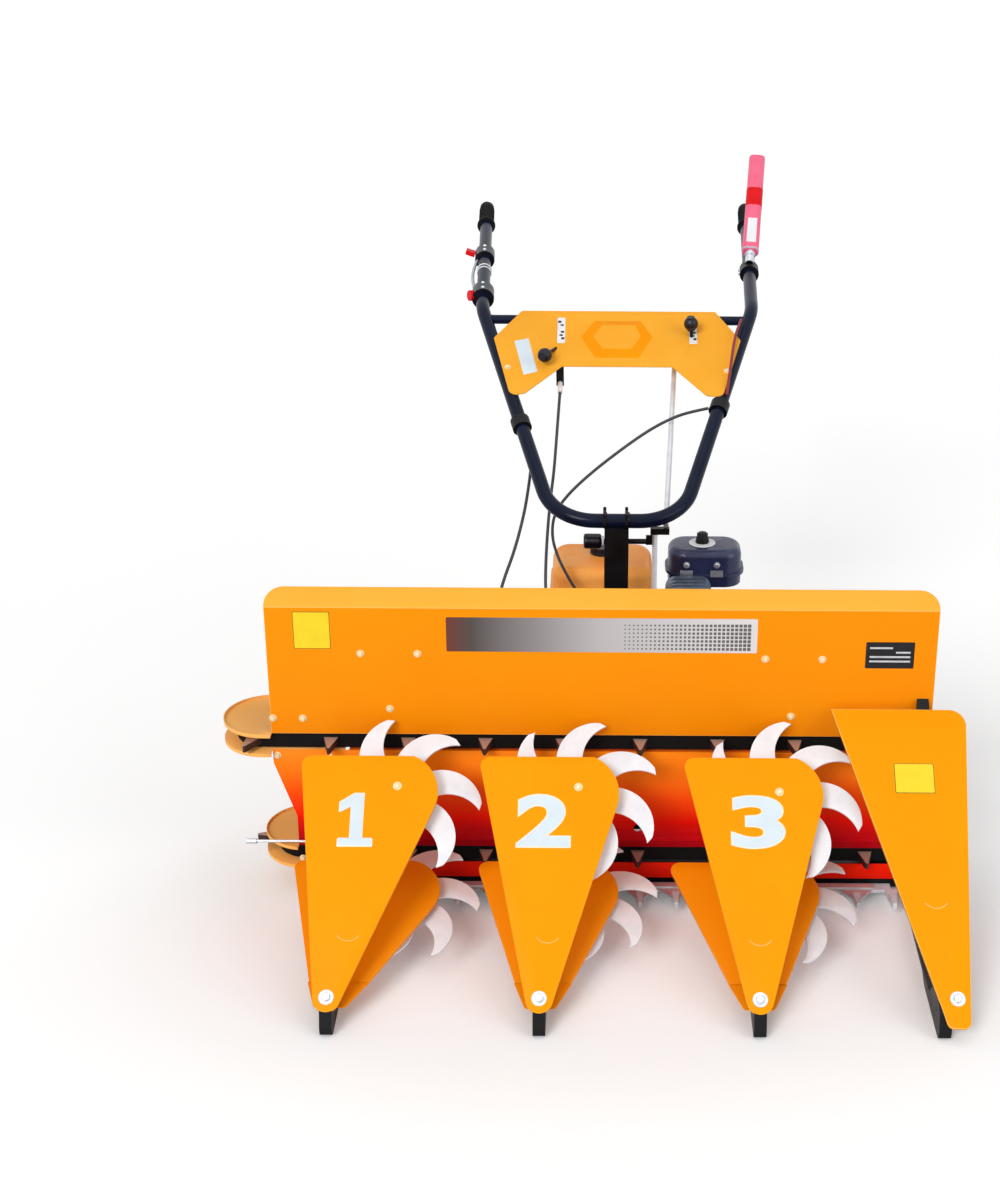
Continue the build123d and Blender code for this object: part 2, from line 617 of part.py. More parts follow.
def upper_bracket(plane, x, star_x, t, hub_low):
    """A flat bar under the star, bent level and bolted to the middle panel."""
    half = BRACKET_WIDTH / 2
    low = hub_low - BRACKET_THICK
    foot_t = (t - BRACKET_HALF_LENGTH, t + BRACKET_HALF_LENGTH)
    foot = plane * block((star_x - half, star_x + half), foot_t, (low, hub_low))
    bend = plane.from_local_coords((star_x, foot_t[1] - BRACKET_THICK / 2, low + BRACKET_THICK / 2))
    level = (bend.Z - BRACKET_THICK / 2, bend.Z + BRACKET_THICK / 2)
    return foot + block((x + star_x - half, x + star_x + half), (bend.Y, WALL_Y), level)


def lower_bracket(plane, x, star_x, t, hub_low):
    """A post under the star on a cross plate that lies on the divider's arm."""
    plate_low = ARM_Z + ARM_BAR
    lean = math.radians(LOWER_LEAN)
    post = plane * (Pos(star_x, t, hub_low) * Cylinder(PIN_R + PIN_COLLAR, 200, align=DOWNWARD))
    post -= block((x - 400, x + 400), (0, 900), (-400, plate_low + BRACKET_THICK / 2))
    top = plane.from_local_coords((0, t, hub_low))
    foot_y = top.Y + (top.Z - plate_low) * math.tan(lean)
    foot_x = (x - ARM_WIDTH / 2, x + star_x + BRACKET_WIDTH / 2)
    rows = (foot_y - BRACKET_HALF_LENGTH, foot_y + BRACKET_HALF_LENGTH)
    return post + block(foot_x, rows, (plate_low, plate_low + BRACKET_THICK))


def divider_arm(x, low_x, high_x, tip_z, lean, carries_lower_cover):
    """A flat bar from the header with a skid shoe, raised at the tip to meet the cover."""
    top = ARM_Z + ARM_BAR
    rest = LOWER_COVER_FRONT_Y + 1
    profile = [(ARM_REAR_Y, ARM_Z), (ARM_REAR_Y, top), (rest + 34, top)]
    if carries_lower_cover:
        for y in (rest + 15, rest):
            profile.append((y, sheet_underside(y, LOWER_TIP_Z, LOWER_LEAN)))
        profile.append((rest - 3, sheet_underside(rest, LOWER_TIP_Z, LOWER_LEAN)))
    for y in (32, -18):
        profile.append((y, sheet_underside(y, tip_z, lean)))
    profile += [
        (SHOE_NOSE_Y + 2, 22), (SHOE_NOSE_Y + 4, 6), (SHOE_NOSE_Y + 14, 0), (150, 0), (190, ARM_Z),
    ]
    return across(profile, x + low_x, x + high_x)


def dividers():
    uppers, lowers, brackets, arms = [], [], [], []
    for name, x, star_x, upper_left, lower_left, upper_phase, lower_phase in DIVIDERS:
        up = leaning_plane(x, UPPER_TIP_Z, UPPER_LEAN)
        low = leaning_plane(x, LOWER_TIP_Z, LOWER_LEAN)
        arm = divider_arm(x, -ARM_WIDTH / 2, ARM_WIDTH / 2, UPPER_TIP_Z, UPPER_LEAN, True)
        uppers.append(cover(up, star_x, UPPER_STAR_T, upper_left, UPPER_COVER_LENGTH) - arm)
        lower = cover(low, star_x, LOWER_STAR_T, lower_left, LOWER_COVER_LENGTH) - arm
        lowers.append(lower - block((x - 90, x + 90), (-60, LOWER_COVER_FRONT_Y), (0, 200)))
        for kind, plane, t, drop, radius, phase in (
            ("upper", up, UPPER_STAR_T, UPPER_STAR_DROP, UPPER_STAR_R, upper_phase),
            ("lower", low, LOWER_STAR_T, LOWER_STAR_DROP, LOWER_STAR_R, lower_phase),
        ):
            centre = plane.from_local_coords((star_x, t, -drop))
            star_plane = Plane(origin=centre, x_dir=(1, 0, 0), z_dir=plane.z_dir)
            nodes["star_" + name + "_" + kind] = star(star_plane, radius, phase)
        pin, hub_low = star_pin(up, star_x, UPPER_STAR_T, UPPER_STAR_DROP)
        brackets.append(pin + upper_bracket(up, x, star_x, UPPER_STAR_T, hub_low))
        pin, hub_low = star_pin(low, star_x, LOWER_STAR_T, LOWER_STAR_DROP)
        brackets.append(pin + lower_bracket(low, x, star_x, LOWER_STAR_T, hub_low))
        arms.append(arm)
    nodes["divider_upper_covers"] = Compound(children=uppers)
    nodes["divider_lower_covers"] = Compound(children=lowers)
    nodes["star_brackets"] = Compound(children=brackets)
    nodes["divider_arms"] = Compound(children=arms)


def side_divider():
    plane = leaning_plane(SIDE_TIP_X, SIDE_TIP_Z, SIDE_LEAN)
    outline = Polyline(
        (-20, -52), (22, -54), (SIDE_RIGHT, SIDE_LENGTH), (-SIDE_LEFT, SIDE_LENGTH), close=True,
    )
    face = make_face(outline)
    corners = face.vertices().sort_by(Axis.Y)
    face = fillet(corners[:2], 14)
    far_right = face.vertices().sort_by(Axis.X)[-1:]
    pressing = rimmed_sheet(plane, fillet(far_right, SIDE_CORNER_R))
    low = -COVER_SHEET - SIDE_BAR_HEIGHT
    bar = plane * block(SIDE_ARM_X, (-20, WALL_Y / math.cos(math.radians(SIDE_LEAN)) + 60), (low, -COVER_SHEET))
    bar -= block((0, 2000), (WALL_Y, 2000), (-100, 2000))
    shoe = divider_arm(SIDE_TIP_X, SIDE_ARM_X[0], SIDE_ARM_X[1], SIDE_TIP_Z, SIDE_LEAN, False)
    nodes["side_divider_arm"] = bar + shoe
    nodes["side_divider_plate"] = pressing - (bar + shoe)


def tyre():
    """Carcass with two staggered rows of slanted tread bars."""
    slope = (TYRE_HALF - BEAD_HALF) / (SHOULDER_R - RIM_LIP_R)
    toe = BEAD_HALF - slope * (RIM_LIP_R - BEAD_R)
    profile = (
        (BEAD_R, -toe), (SHOULDER_R, -TYRE_HALF), (CARCASS_R, -CROWN_HALF),
        (CARCASS_R, CROWN_HALF), (SHOULDER_R, TYRE_HALF), (BEAD_R, toe),
    )
    body = turned(profile, Pos(0, 0, 0))
    high, thick, long = TREAD_LUG
    bar = Pos(TYRE_R - high / 2, 0, 0) * Rot(TREAD_LUG_TURN, 0, 0) * Box(high, thick, long)
    for side in (-1, 1):
        for i in range(LUGS_PER_SIDE):
            turn = (i + (0.5 if side > 0 else 0.0)) * 360.0 / LUGS_PER_SIDE
            lug = bar if side > 0 else mirror(bar, Plane.XY)
            body += Rot(0, 0, turn) * Pos(0, 0, side * TREAD_LUG_OFFSET) * lug
    return body


def rim():
    """A pressed rim with a drop centre, a holed disc and a hub."""
    seat, wall, drop = BEAD_R - SEAT_GAP, RIM_WALL, RIM_DROP_R
    lip_in, lip_out = BEAD_HALF + SEAT_GAP, BEAD_HALF + SEAT_GAP + RIM_WALL
    profile = (
        (seat, -lip_in), (RIM_LIP_R, -lip_in), (RIM_LIP_R, -lip_out), (seat - wall, -lip_out),
        (seat - wall, -18), (drop - wall, -12), (drop - wall, 12), (seat - wall, 18),
        (seat - wall, lip_out), (RIM_LIP_R, lip_out), (RIM_LIP_R, lip_in), (seat, lip_in),
        (seat, 20), (drop, 14), (drop, -14), (seat, -20),
    )
    body = turned(profile, Pos(0, 0, 0))
    disc = Cylinder(drop - wall / 2, DISC_THICK)
    for i in range(DISC_HOLES):
        turn = i * 360.0 / DISC_HOLES
        disc -= Rot(0, 0, turn) * Pos(DISC_HOLE_CIRCLE, 0, 0) * Cylinder(DISC_HOLE_R, 4 * DISC_THICK)
    return body + disc + Cylinder(HUB_R, 2 * HUB_HALF)


def wheels():
    round_tyre, pressed_rim = tyre(), rim()
    for side, name in ((-1, "left"), (1, "right")):
        x = side * TRACK / 2
        place = Pos(x, AXLE_Y, axle_z) * Rot(0, 90, 0)
        nodes["tyre_" + name] = place * round_tyre
        shaft = rod((side * GEARBOX_HALF, AXLE_Y, axle_z), (x + side * (HUB_HALF + 8), AXLE_Y, axle_z), AXLE_R)
        nodes["wheel_rim_" + name] = place * pressed_rim + shaft


def hull_face(grow):
    """Outline of the transmission case in the (y, z) plane."""
    plane = Plane(origin=(0, 0, 0), x_dir=(0, 1, 0), z_dir=(1, 0, 0))
    rounds = Sketch() + [Pos(y, z) * Circle(r + grow) for y, z, r in CASE_LOBES]
    return plane * make_hull(rounds.edges())


def gearbox():
    case = Pos(-GEARBOX_HALF, 0, 0) * extrude(hull_face(0), amount=2 * GEARBOX_HALF, dir=(1, 0, 0))
    seam = extrude(hull_face(CASE_SEAM), amount=2 * CASE_SEAM_HALF, dir=(1, 0, 0))
    case += Pos(-CASE_SEAM_HALF, 0, 0) * seam
    case += rod((-axle_tube_end, AXLE_Y, axle_z), (axle_tube_end, AXLE_Y, axle_z), AXLE_TUBE_R)
    for side in (-1, 1):
        case += rod((side * GEARBOX_HALF, AXLE_Y, axle_z), (side * (GEARBOX_HALF + 24), AXLE_Y, axle_z), 44)
        case += rod((side * (axle_tube_end - 26), AXLE_Y, axle_z), (side * axle_tube_end, AXLE_Y, axle_z), 33)
    foot = (STEM_FOOT_Z - 40, STEM_FOOT_Z)
    case += block((-40, 40), (STEM_Y - 40, STEM_Y + 40), foot)
    case -= rod((-500, AXLE_Y, axle_z), (500, AXLE_Y, axle_z), AXLE_R + RUNNING_FIT)
    case -= block((-200, 200), (0, GEARBOX_FRONT_Y), (0, 600))
    case -= block((-200, 200), (0, 2000), (STEM_FOOT_Z, 600))
    nodes["gearbox"] = case
    saddle_z = HANDLE_Z - TUBE_R
    half = STEM / 2
    stem = block((STEM_X - half, STEM_X + half), (STEM_Y - half, STEM_Y + half), (STEM_FOOT_Z, saddle_z + 6))
    nodes["handle_stem"] = stem - rod((-200, STEM_Y, HANDLE_Z), (200, STEM_Y, HANDLE_Z), TUBE_R)


def engine():
    y0, y1 = ENGINE_Y
    r0, r1 = BELL_R
    profile = (
        (0, 0), (r0, 0), (r0, 14), (r0 - 6, 20), (r1 - 10, BELL_Y[1] - BELL_Y[0] - 14),
        (r1, BELL_Y[1] - BELL_Y[0] - 12), (r1, BELL_Y[1] - BELL_Y[0]), (0, BELL_Y[1] - BELL_Y[0]),
    )
    bell = turned(profile, Plane(origin=(0, BELL_Y[0], INPUT_Z), z_dir=(0, 1, 0)))
    x, y, z = CLUTCH_STOP
    bell += rod((x, y, INPUT_Z), CLUTCH_STOP, 2 * CABLE_R)
    nodes["clutch_housing"] = bell - nodes["gearbox"]
    crankcase = fillet(block(CRANKCASE_X, ENGINE_Y, (ENGINE_BASE_Z, CRANKCASE_TOP)).edges().filter_by(Axis.Y), 18)
    tilt = Pos(30, (y0 + y1) / 2 - 12, CRANKCASE_TOP - 60) * Rot(0, CYLINDER_LEAN, 0)
    barrel = Box(CYLINDER_SIZE, CYLINDER_SIZE, CYLINDER_LENGTH + 40, align=UPWARD)
    for i in range(FIN_COUNT):
        height = 62 + i * (CYLINDER_LENGTH - 26) / (FIN_COUNT - 1)
        barrel += Pos(0, 0, height) * Box(FIN_SIZE, FIN_SIZE, FIN_THICK, align=UPWARD)
    head = Pos(0, 0, CYLINDER_LENGTH + 40) * Box(CYLINDER_SIZE - 10, CYLINDER_SIZE - 6, 24, align=UPWARD)
    barrel += fillet(head.edges().filter_by(Axis.Z), 16)
    nodes["engine_block"] = crankcase + tilt * barrel
    bed = block((-96, 96), (AXLE_Y + 78, y1 + 8), (ENGINE_BASE_Z - BED_THICK, ENGINE_BASE_Z))
    for x in (-70, 58):
        bed += block((x, x + 12), (AXLE_Y + 40, y1 + 8), (ENGINE_BASE_Z - BED_THICK - 26, ENGINE_BASE_Z - BED_THICK))
    nodes["engine_bed"] = bed - nodes["gearbox"]
    rear = Plane(origin=(0, y1, INPUT_Z), z_dir=(0, 1, 0))
    profile = (
        (0, 0), (BLOWER_R, 0), (BLOWER_R, BLOWER_DEPTH - 14), (BLOWER_R - 14, BLOWER_DEPTH), (0, BLOWER_DEPTH),
    )
    blower = turned(profile, rear) - block((-300, 300), (y0, y1 + 200), (0, ENGINE_BASE_Z - BED_THICK))
    cap_rear = Plane(origin=(0, y1 + BLOWER_DEPTH, INPUT_Z), z_dir=(0, 1, 0))
    profile = ((0, 0), (RECOIL_R, 0), (RECOIL_R - 6, RECOIL_DEPTH - 6), (RECOIL_R - 20, RECOIL_DEPTH), (0, RECOIL_DEPTH))
    recoil = turned(profile, cap_rear)
    for i in range(8):
        cut = Rot(0, 0, 22.5 + i * 45) * Pos(58, 0, RECOIL_DEPTH - 5) * Box(38, 13, 12)
        recoil -= cap_rear * cut
    nodes["recoil_starter"] = blower - nodes["engine_bed"] + recoil


def fuel_and_air():
    tank = block(TANK_X, TANK_Y, TANK_Z)
    tank = fillet(tank.edges().filter_by(Axis.Z), TANK_CORNER)
    tank = fillet(tank.faces().sort_by(Axis.Z)[-1].edges(), 26)
    middle = (TANK_Z[0] + TANK_Z[1]) / 2 - 14
    x, y = TANK_X, TANK_Y
    seam = block((x[0] - TANK_SEAM, x[1] + TANK_SEAM), (y[0] - TANK_SEAM, y[1] + TANK_SEAM), (middle, middle + 4))
    tank += fillet(seam.edges().filter_by(Axis.Z), TANK_CORNER + TANK_SEAM)
    nodes["fuel_tank"] = tank
    cap_x, cap_y = (x[0] + x[1]) / 2, (y[0] + y[1]) / 2 + 18
    cap = Pos(cap_x, cap_y, TANK_Z[1]) * Cylinder(CAP_R, CAP_HEIGHT, align=UPWARD)
    for i in range(12):
        notch = Rot(0, 0, i * 30) * Pos(CAP_R + 1, 0, 0) * Cylinder(3, CAP_HEIGHT + 2, align=UPWARD)
        cap -= Pos(cap_x, cap_y, TANK_Z[1]) * notch
    nodes["fuel_cap"] = cap
    straps = block((-80, 50), (ENGINE_Y[0] + 8, ENGINE_Y[1] - 8), (CRANKCASE_TOP, TANK_Z[0]))
    straps -= block((-64, 34), (0, 3000), (0, TANK_Z[0] - 6))
    nodes["tank_bracket"] = straps - nodes["engine_block"]
    body = fillet(block(FILTER_X, FILTER_Y, FILTER_Z).edges().filter_by(Axis.Z), 44)
    body = fillet(body.faces().sort_by(Axis.Z)[-1].edges(), 20)
    low, high = FILTER_Z[0] + 26, FILTER_Z[0] + 34
    ring = block(
        (FILTER_X[0] - FILTER_RIM, FILTER_X[1] + FILTER_RIM), (FILTER_Y[0] - FILTER_RIM, FILTER_Y[1] + FILTER_RIM),
        (low, high),
    )
    body += fillet(ring.edges().filter_by(Axis.Z), 44 + FILTER_RIM)
    fx, fy = (FILTER_X[0] + FILTER_X[1]) / 2 - 6, (FILTER_Y[0] + FILTER_Y[1]) / 2
    nut = Pos(fx, fy, FILTER_Z[1]) * Cylinder(13, 6, align=UPWARD)
    nut += Pos(fx, fy, FILTER_Z[1]) * Cylinder(6, 18, align=UPWARD)
    nut += Pos(fx, fy, FILTER_Z[1] + 14) * Box(26, 5, 12, align=UPWARD)
    nodes["air_filter"] = body + nut
    carb = block((CRANKCASE_X[1], 196), (1190, 1226), (356, 392)) + block((60, CRANKCASE_X[1]), (1190, 1226), (356, 392))
    carb += rod((176, 1222, 370), (176, 1222, FILTER_Z[0]), 22)
    carb += block((90, 130), (1180, 1220), (300, 356))
    nodes["air_filter_elbow"] = carb - nodes["engine_block"] - nodes["fuel_tank"] - nodes["recoil_starter"]


def muffler():
    shell = fillet(block(MUFFLER_X, MUFFLER_Y, MUFFLER_Z).edges().filter_by(Axis.Y), 26)
    middle, top = sum(MUFFLER_X) / 2, MUFFLER_Z[1]
    for i in range(4):
        y = MUFFLER_Y[0] + 14 + i * 20
        shell -= block((MUFFLER_X[0] + 4, MUFFLER_X[1] - 4), (y, y + 9), (top - 4, top + 8))
    outlet_z = sum(MUFFLER_Z) / 2
    shell += rod((middle, MUFFLER_Y[0], outlet_z), (middle, MUFFLER_Y[0] - 22, outlet_z), OUTLET_R)
    pipe = block((126, 150), (1110, 1160), (330, MUFFLER_Z[0] + 8))
    nodes["muffler"] = (shell + pipe) - nodes["engine_block"] - nodes["fuel_tank"] - nodes["air_filter_elbow"]


def handles():
    bx, by, bz = HANDLE_BEND
    ex, ey, ez = HANDLE_END
    points = [
        (-ex, ey, ez), (-bx, by, bz), (-HANDLE_BOTTOM_HALF, STEM_Y, HANDLE_Z),
        (HANDLE_BOTTOM_HALF, STEM_Y, HANDLE_Z), (bx, by, bz), (ex, ey, ez),
    ]
    radii = (TOP_BEND_R, BOTTOM_BEND_R, BOTTOM_BEND_R, TOP_BEND_R)
    nodes["handlebar"] = bent_tube(points, radii, TUBE_R, TUBE_WALL)
    core = bent_tube(points, radii, TUBE_R)
    legs = handle_plane()
    ends = [tuple(legs.from_local_coords((x, CROSSBAR_T, 0))) for x in (-bx, bx)]
    bar = rod(ends[0], ends[1], CROSSBAR_R) - core
    nodes["crossbar"] = bar.solids().sort_by(SortBy.VOLUME)[-1]
    clamps = []
    for x in (STEM_X - 26, STEM_X + 22):
        turn = Plane(origin=(x, STEM_Y, HANDLE_Z), x_dir=(0, 1, 0), z_dir=(1, 0, 0))
        bow = turn * (Cylinder(TUBE_R + 7, 7) - Cylinder(TUBE_R + SEAT_GAP, 9))
        bow -= block((x - 10, x + 10), (STEM_Y - 60, STEM_Y + 60), (HANDLE_Z - 60, HANDLE_Z - TUBE_R + 6))
        for y in (STEM_Y - TUBE_R - 4, STEM_Y + TUBE_R + 4):
            bow += rod((x, y, HANDLE_Z - 2), (x, y, HANDLE_Z + TUBE_R + 8), 3.5)
        clamps.append(bow)
    slope = (bx - HANDLE_BOTTOM_HALF) / math.dist(HANDLE_BEND[1:], (STEM_Y, HANDLE_Z))
    for side, t in CABLE_CLIPS:
        low, high = [tuple(legs.from_local_coords((side * (HANDLE_BOTTOM_HALF + slope * s), s, 0))) for s in (t - 14, t + 14)]
        clamps.append(rod(low, high, TUBE_R + 6) - rod(low, high, TUBE_R))
    nodes["handle_clamp"] = Compound(children=clamps)
    grips = []
    for side in (-1, 1):
        end = Vector(side * ex, ey, ez)
        toward = (Vector(side * bx, by, bz) - end).normalized()
        grip = rod(tuple(end - toward * GRIP_CAP), tuple(end + toward * GRIP_LENGTH), GRIP_R)
        grip += rod(tuple(end + toward * (GRIP_LENGTH - 6)), tuple(end + toward * GRIP_LENGTH), GRIP_R + 5)
        grips.append(grip - rod(tuple(end), tuple(end + toward * (GRIP_LENGTH + 5)), TUBE_R))
    nodes["grips"] = Compound(children=grips)


def control_panel():
    """A sheet on both handle legs, with a raised hexagon and two lever slots."""
    legs = handle_plane()
    outline = Polyline(
        (-228, dash_top_t), (235, dash_top_t), (292, dash_top_t - 100), (243, dash_low_t),
        (206, dash_low_t + 3), (129, dash_notch_t), (-129, dash_notch_t),
        (-213, dash_low_t + 8), (-247, dash_low_t), (-292, dash_top_t - 96), close=True,
    )
    face = make_face(outline)
    low = face.vertices().sort_by(Axis.Y)[:4]
    face = fillet(low, 12)
    low_n, high_n = TUBE_R, TUBE_R + DASH_SHEET
    dash = sheet(legs, face, low_n, high_n)
    hexagon = make_face(Polyline(
        (-76, 0), (-52, 58), (62, 58), (88, 0), (62, -58), (-52, -58), close=True,
    ))
    dash += sheet(legs, Pos(0, CROSSBAR_T - HEXAGON_DROP) * hexagon, high_n, high_n + DASH_BOSS)
    for x in (LEFT_SLOT_X, RIGHT_SLOT_X):
        slot = Pos(x, slot_t) * Rectangle(SLOT_WIDTH, SLOT_LENGTH)
        dash -= sheet(legs, slot, low_n - 1, high_n + 1)
        dash += sheet(legs, Pos(x, slot_t) * Rectangle(SLOT_WIDTH + 8, SLOT_LENGTH + 8), low_n - GATE_DEPTH, low_n)
    x, drop, n = FERRULE
    t = CROSSBAR_T + drop
    dash += legs * block((x - 9, x + 9), (t + FERRULE_LENGTH - 8, t + FERRULE_LENGTH - 5), (n - 9, low_n + 1))
    dash += legs * block((x - 9, x + 9), (t + FERRULE_LENGTH - 8, t + FERRULE_LENGTH + 8), (low_n - 2, low_n))
    ends = [tuple(legs.from_local_coords((x, along, n))) for along in (t, t + FERRULE_LENGTH)]
    dash += rod(*ends, FERRULE_R)
    for start, end in dash_levers():
        dash -= rod(start, end, LEVER_R + SEAT_GAP)
    nodes["control_panel"] = dash


def dash_levers():
    """Lower and upper end of each lever's stalk: the right one reaches down to the shift rod."""
    legs = handle_plane()
    crank = Vector(RIGHT_SLOT_X, *SHIFT_ROD_TOP[1:])
    right_top = legs.from_local_coords((RIGHT_SLOT_X - 6, slot_t - 8, 48))
    left_foot = legs.from_local_coords((LEFT_SLOT_X, slot_t - 36, 2))
    left_top = legs.from_local_coords((LEFT_SLOT_X - 36, slot_t - 118, 46))
    return (tuple(crank), tuple(right_top)), (tuple(left_foot), tuple(left_top))


def knobbed_levers():
    """One lever stands in the right slot, one sweeps out below the left, and the gear lever crosses the stem."""
    knobs, stalks = [], []
    for start, end in dash_levers():
        stalk = rod(start, end, LEVER_R)
        ball = Plane(origin=end, z_dir=Vector(*end) - Vector(*start)) * (Sphere(KNOB_R) + Cylinder(9, 2 * KNOB_R))
        stalks.append(stalk)
        knobs.append(ball - stalk)
    y = STEM_Y + STEM / 2 + ROD_R + SEAT_GAP
    x, z = GEAR_KNOB
    gear = rod((x, y, z), (LINK_X[0] - 2, y, z), ROD_R)
    gear += block((LINK_X[0] - 10, LINK_X[0] + 4), (y - ROD_R, 932), (z - ROD_R, 648))
    stalks.append(gear)
    knob = Plane(origin=(x, y, z), z_dir=(-1, 0, 0)) * Cylinder(KNOB_R, 40, align=UPWARD)
    knobs.append(fillet(knob.edges(), 6))
    nodes["lever_knobs"] = Compound(children=knobs)
    return stalks


def grip_levers():
    """Thumb throttle and stop switch on the left handle, raised clutch lever on the right."""
    bx, by, bz = HANDLE_BEND
    ex, ey, ez = HANDLE_END
    direction = (Vector(ex, ey, ez) - Vector(bx, by, bz)).normalized()

    def on_handle(side, y):
        s = (y - by) / direction.Y
        return Vector(side * (bx + direction.X * s), by + direction.Y * s, bz + direction.Z * s)

    def collar(side, y_low, y_high, outer):
        low, high = on_handle(side, y_low), on_handle(side, y_high)
        return rod(tuple(low), tuple(high), outer) - rod(tuple(low), tuple(high), TUBE_R)

    housing = collar(-1, 1840, 1890, 25)
    root = on_handle(-1, 1866) + Vector(-25.3, 0, 6)
    blade = Plane(origin=tuple(root), x_dir=(0, 1, 0), z_dir=(-1, 0, 0.35))
    finger = make_face(Polyline((-12, -5), (16, -5), (34, 2), (34, 8), (10, 7), (-12, 6), close=True))
    thumb = blade * extrude(finger, amount=24) - housing
    switch = collar(-1, 1580, 1630, 27)
    nodes["control_housings"] = Compound(children=[housing, switch])
    side_dir = Vector(-1, -0.55, 0.1).normalized()
    face_at = on_handle(-1, 1605) + side_dir * 26
    button = rod(tuple(face_at), tuple(face_at + side_dir * 12), 13) - switch
    nodes["thumb_controls"] = Compound(children=[thumb, button])
    pivot = collar(1, 1752, 1790, 24)
    lever_low = on_handle(1, 1771) + Vector(0, 0, 22)
    lever_end = Vector(370, 2100, 1255)
    pivot += rod(tuple(lever_low), tuple(lever_low + (lever_end - lever_low).normalized() * 60), 9)
    nodes["clutch_lever"] = pivot - rod(tuple(on_handle(1, 1700)), tuple(on_handle(1, 1850)), TUBE_R)
    along = (lever_end - lever_low).normalized()
    start = lever_low + along * 40
    sleeve_plane = Plane(origin=tuple(start), x_dir=(1, 0, 0), z_dir=along)
    shape = RectangleRounded(42, 30, 12) - Circle(9 + SEAT_GAP)
    sleeve = sleeve_plane * extrude(shape, amount=24)
    solid_part = extrude(Pos(0, 0, 24) * RectangleRounded(42, 30, 12), amount=(lever_end - start).length - 24)
    nodes["clutch_sleeve"] = sleeve + sleeve_plane * solid_part


def shift_linkage(stalks):
    """A rod down from the dash lever to a link, and a second one down to the case."""
    x, y, z = SHIFT_ROD_TOP
    upper = rod(SHIFT_ROD_TOP, SHIFT_ROD_BOTTOM, ROD_R)
    upper += rod((x - ROD_R, y, z), (RIGHT_SLOT_X - 1, y, z), ROD_R)
    upper -= rod(*dash_levers()[0], LEVER_R)
    lower = rod((84, 940, 648), (84, 930, 352), ROD_R)
    nodes["shift_rods"] = Compound(children=[upper, lower])
    link = block(LINK_X, (932, 948), (648, 662)) - upper
    foot = block((GEARBOX_HALF, 96), (918, 942), (326, 352))
    nodes["control_linkage"] = Compound(children=stalks + [link - lower, foot - lower])


def control_cables():
    for name, points in CABLES:
        points = [Vector(*p) for p in points]
        runs = [b - a for a, b in zip(points, points[1:])]
        radii = []
        for before, after in zip(runs, runs[1:]):
            turn = math.radians(before.get_angle(after))
            radii.append(0.45 * min(before.length, after.length) / math.tan(turn / 2))
        cable = bent_tube(points, radii, CABLE_R)
        nodes[name] = cable
        print(name, "radii", [round(r) for r in radii], "length", round(cable.volume / (math.pi * CABLE_R ** 2)))


header_sheets()
gathering_belts()
pulleys()
discharge_guards()
header_frame()
cutter_bar()
dividers()
side_divider()
wheels()
gearbox()
engine()
fuel_and_air()
muffler()
handles()
control_panel()
grip_levers()
shift_linkage(knobbed_levers())
control_cables()

solid_nodes = {name: shape.solids() for name, shape in nodes.items()}
box = Compound([piece for pieces in solid_nodes.values() for piece in pieces]).bounding_box()
SHIFT = (-(box.min.X + box.max.X) / 2, -(box.min.Y + box.max.Y) / 2, -box.min.Z)
os.makedirs("parts", exist_ok=True)
for name, pieces in solid_nodes.items():
    placed = [Pos(*SHIFT) * piece for piece in pieces]
    export_step(placed[0] if len(placed) == 1 else Compound(children=placed), "parts/" + name + ".step")
print("nodes", len(nodes), "box", box.size, "shift", SHIFT)
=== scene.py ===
import math

import bmesh
import bpy
from mathutils import Matrix, Vector


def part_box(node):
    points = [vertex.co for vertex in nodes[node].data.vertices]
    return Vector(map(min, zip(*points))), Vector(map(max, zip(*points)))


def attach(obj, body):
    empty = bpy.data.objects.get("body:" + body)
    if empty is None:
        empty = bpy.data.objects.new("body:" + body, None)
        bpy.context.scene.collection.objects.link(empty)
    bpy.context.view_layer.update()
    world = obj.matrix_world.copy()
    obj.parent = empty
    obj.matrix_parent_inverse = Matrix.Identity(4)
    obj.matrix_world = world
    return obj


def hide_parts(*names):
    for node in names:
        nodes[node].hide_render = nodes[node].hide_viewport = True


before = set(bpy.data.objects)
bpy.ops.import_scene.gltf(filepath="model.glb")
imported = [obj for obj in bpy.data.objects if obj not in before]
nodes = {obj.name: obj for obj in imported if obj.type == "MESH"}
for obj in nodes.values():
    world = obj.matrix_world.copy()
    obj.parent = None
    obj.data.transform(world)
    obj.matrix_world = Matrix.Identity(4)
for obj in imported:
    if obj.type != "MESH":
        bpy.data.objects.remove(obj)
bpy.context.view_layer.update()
starNodes = [name for name in nodes if name.startswith("star_") and name != "star_brackets"]
print("model loaded:", len(nodes), "nodes")

# The machine is drawn in millimetres: x across from the centre line, y back from the divider
# tips, z up from the ground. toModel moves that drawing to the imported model, in metres.
drawingShift = (56.5715, -1095.7888, 0.0)
toModel = Matrix.Scale(0.001, 4) @ Matrix.Translation(drawingShift)
flat = Matrix.Identity(4)


def place(point):
    return toModel @ Vector(point)


# local x across, local y up a slope, local z square to it
def leaning(x, z, lean, y=0.0):
    return Matrix.Translation((x, y, z)) @ Matrix.Rotation(math.radians(lean), 4, "X")


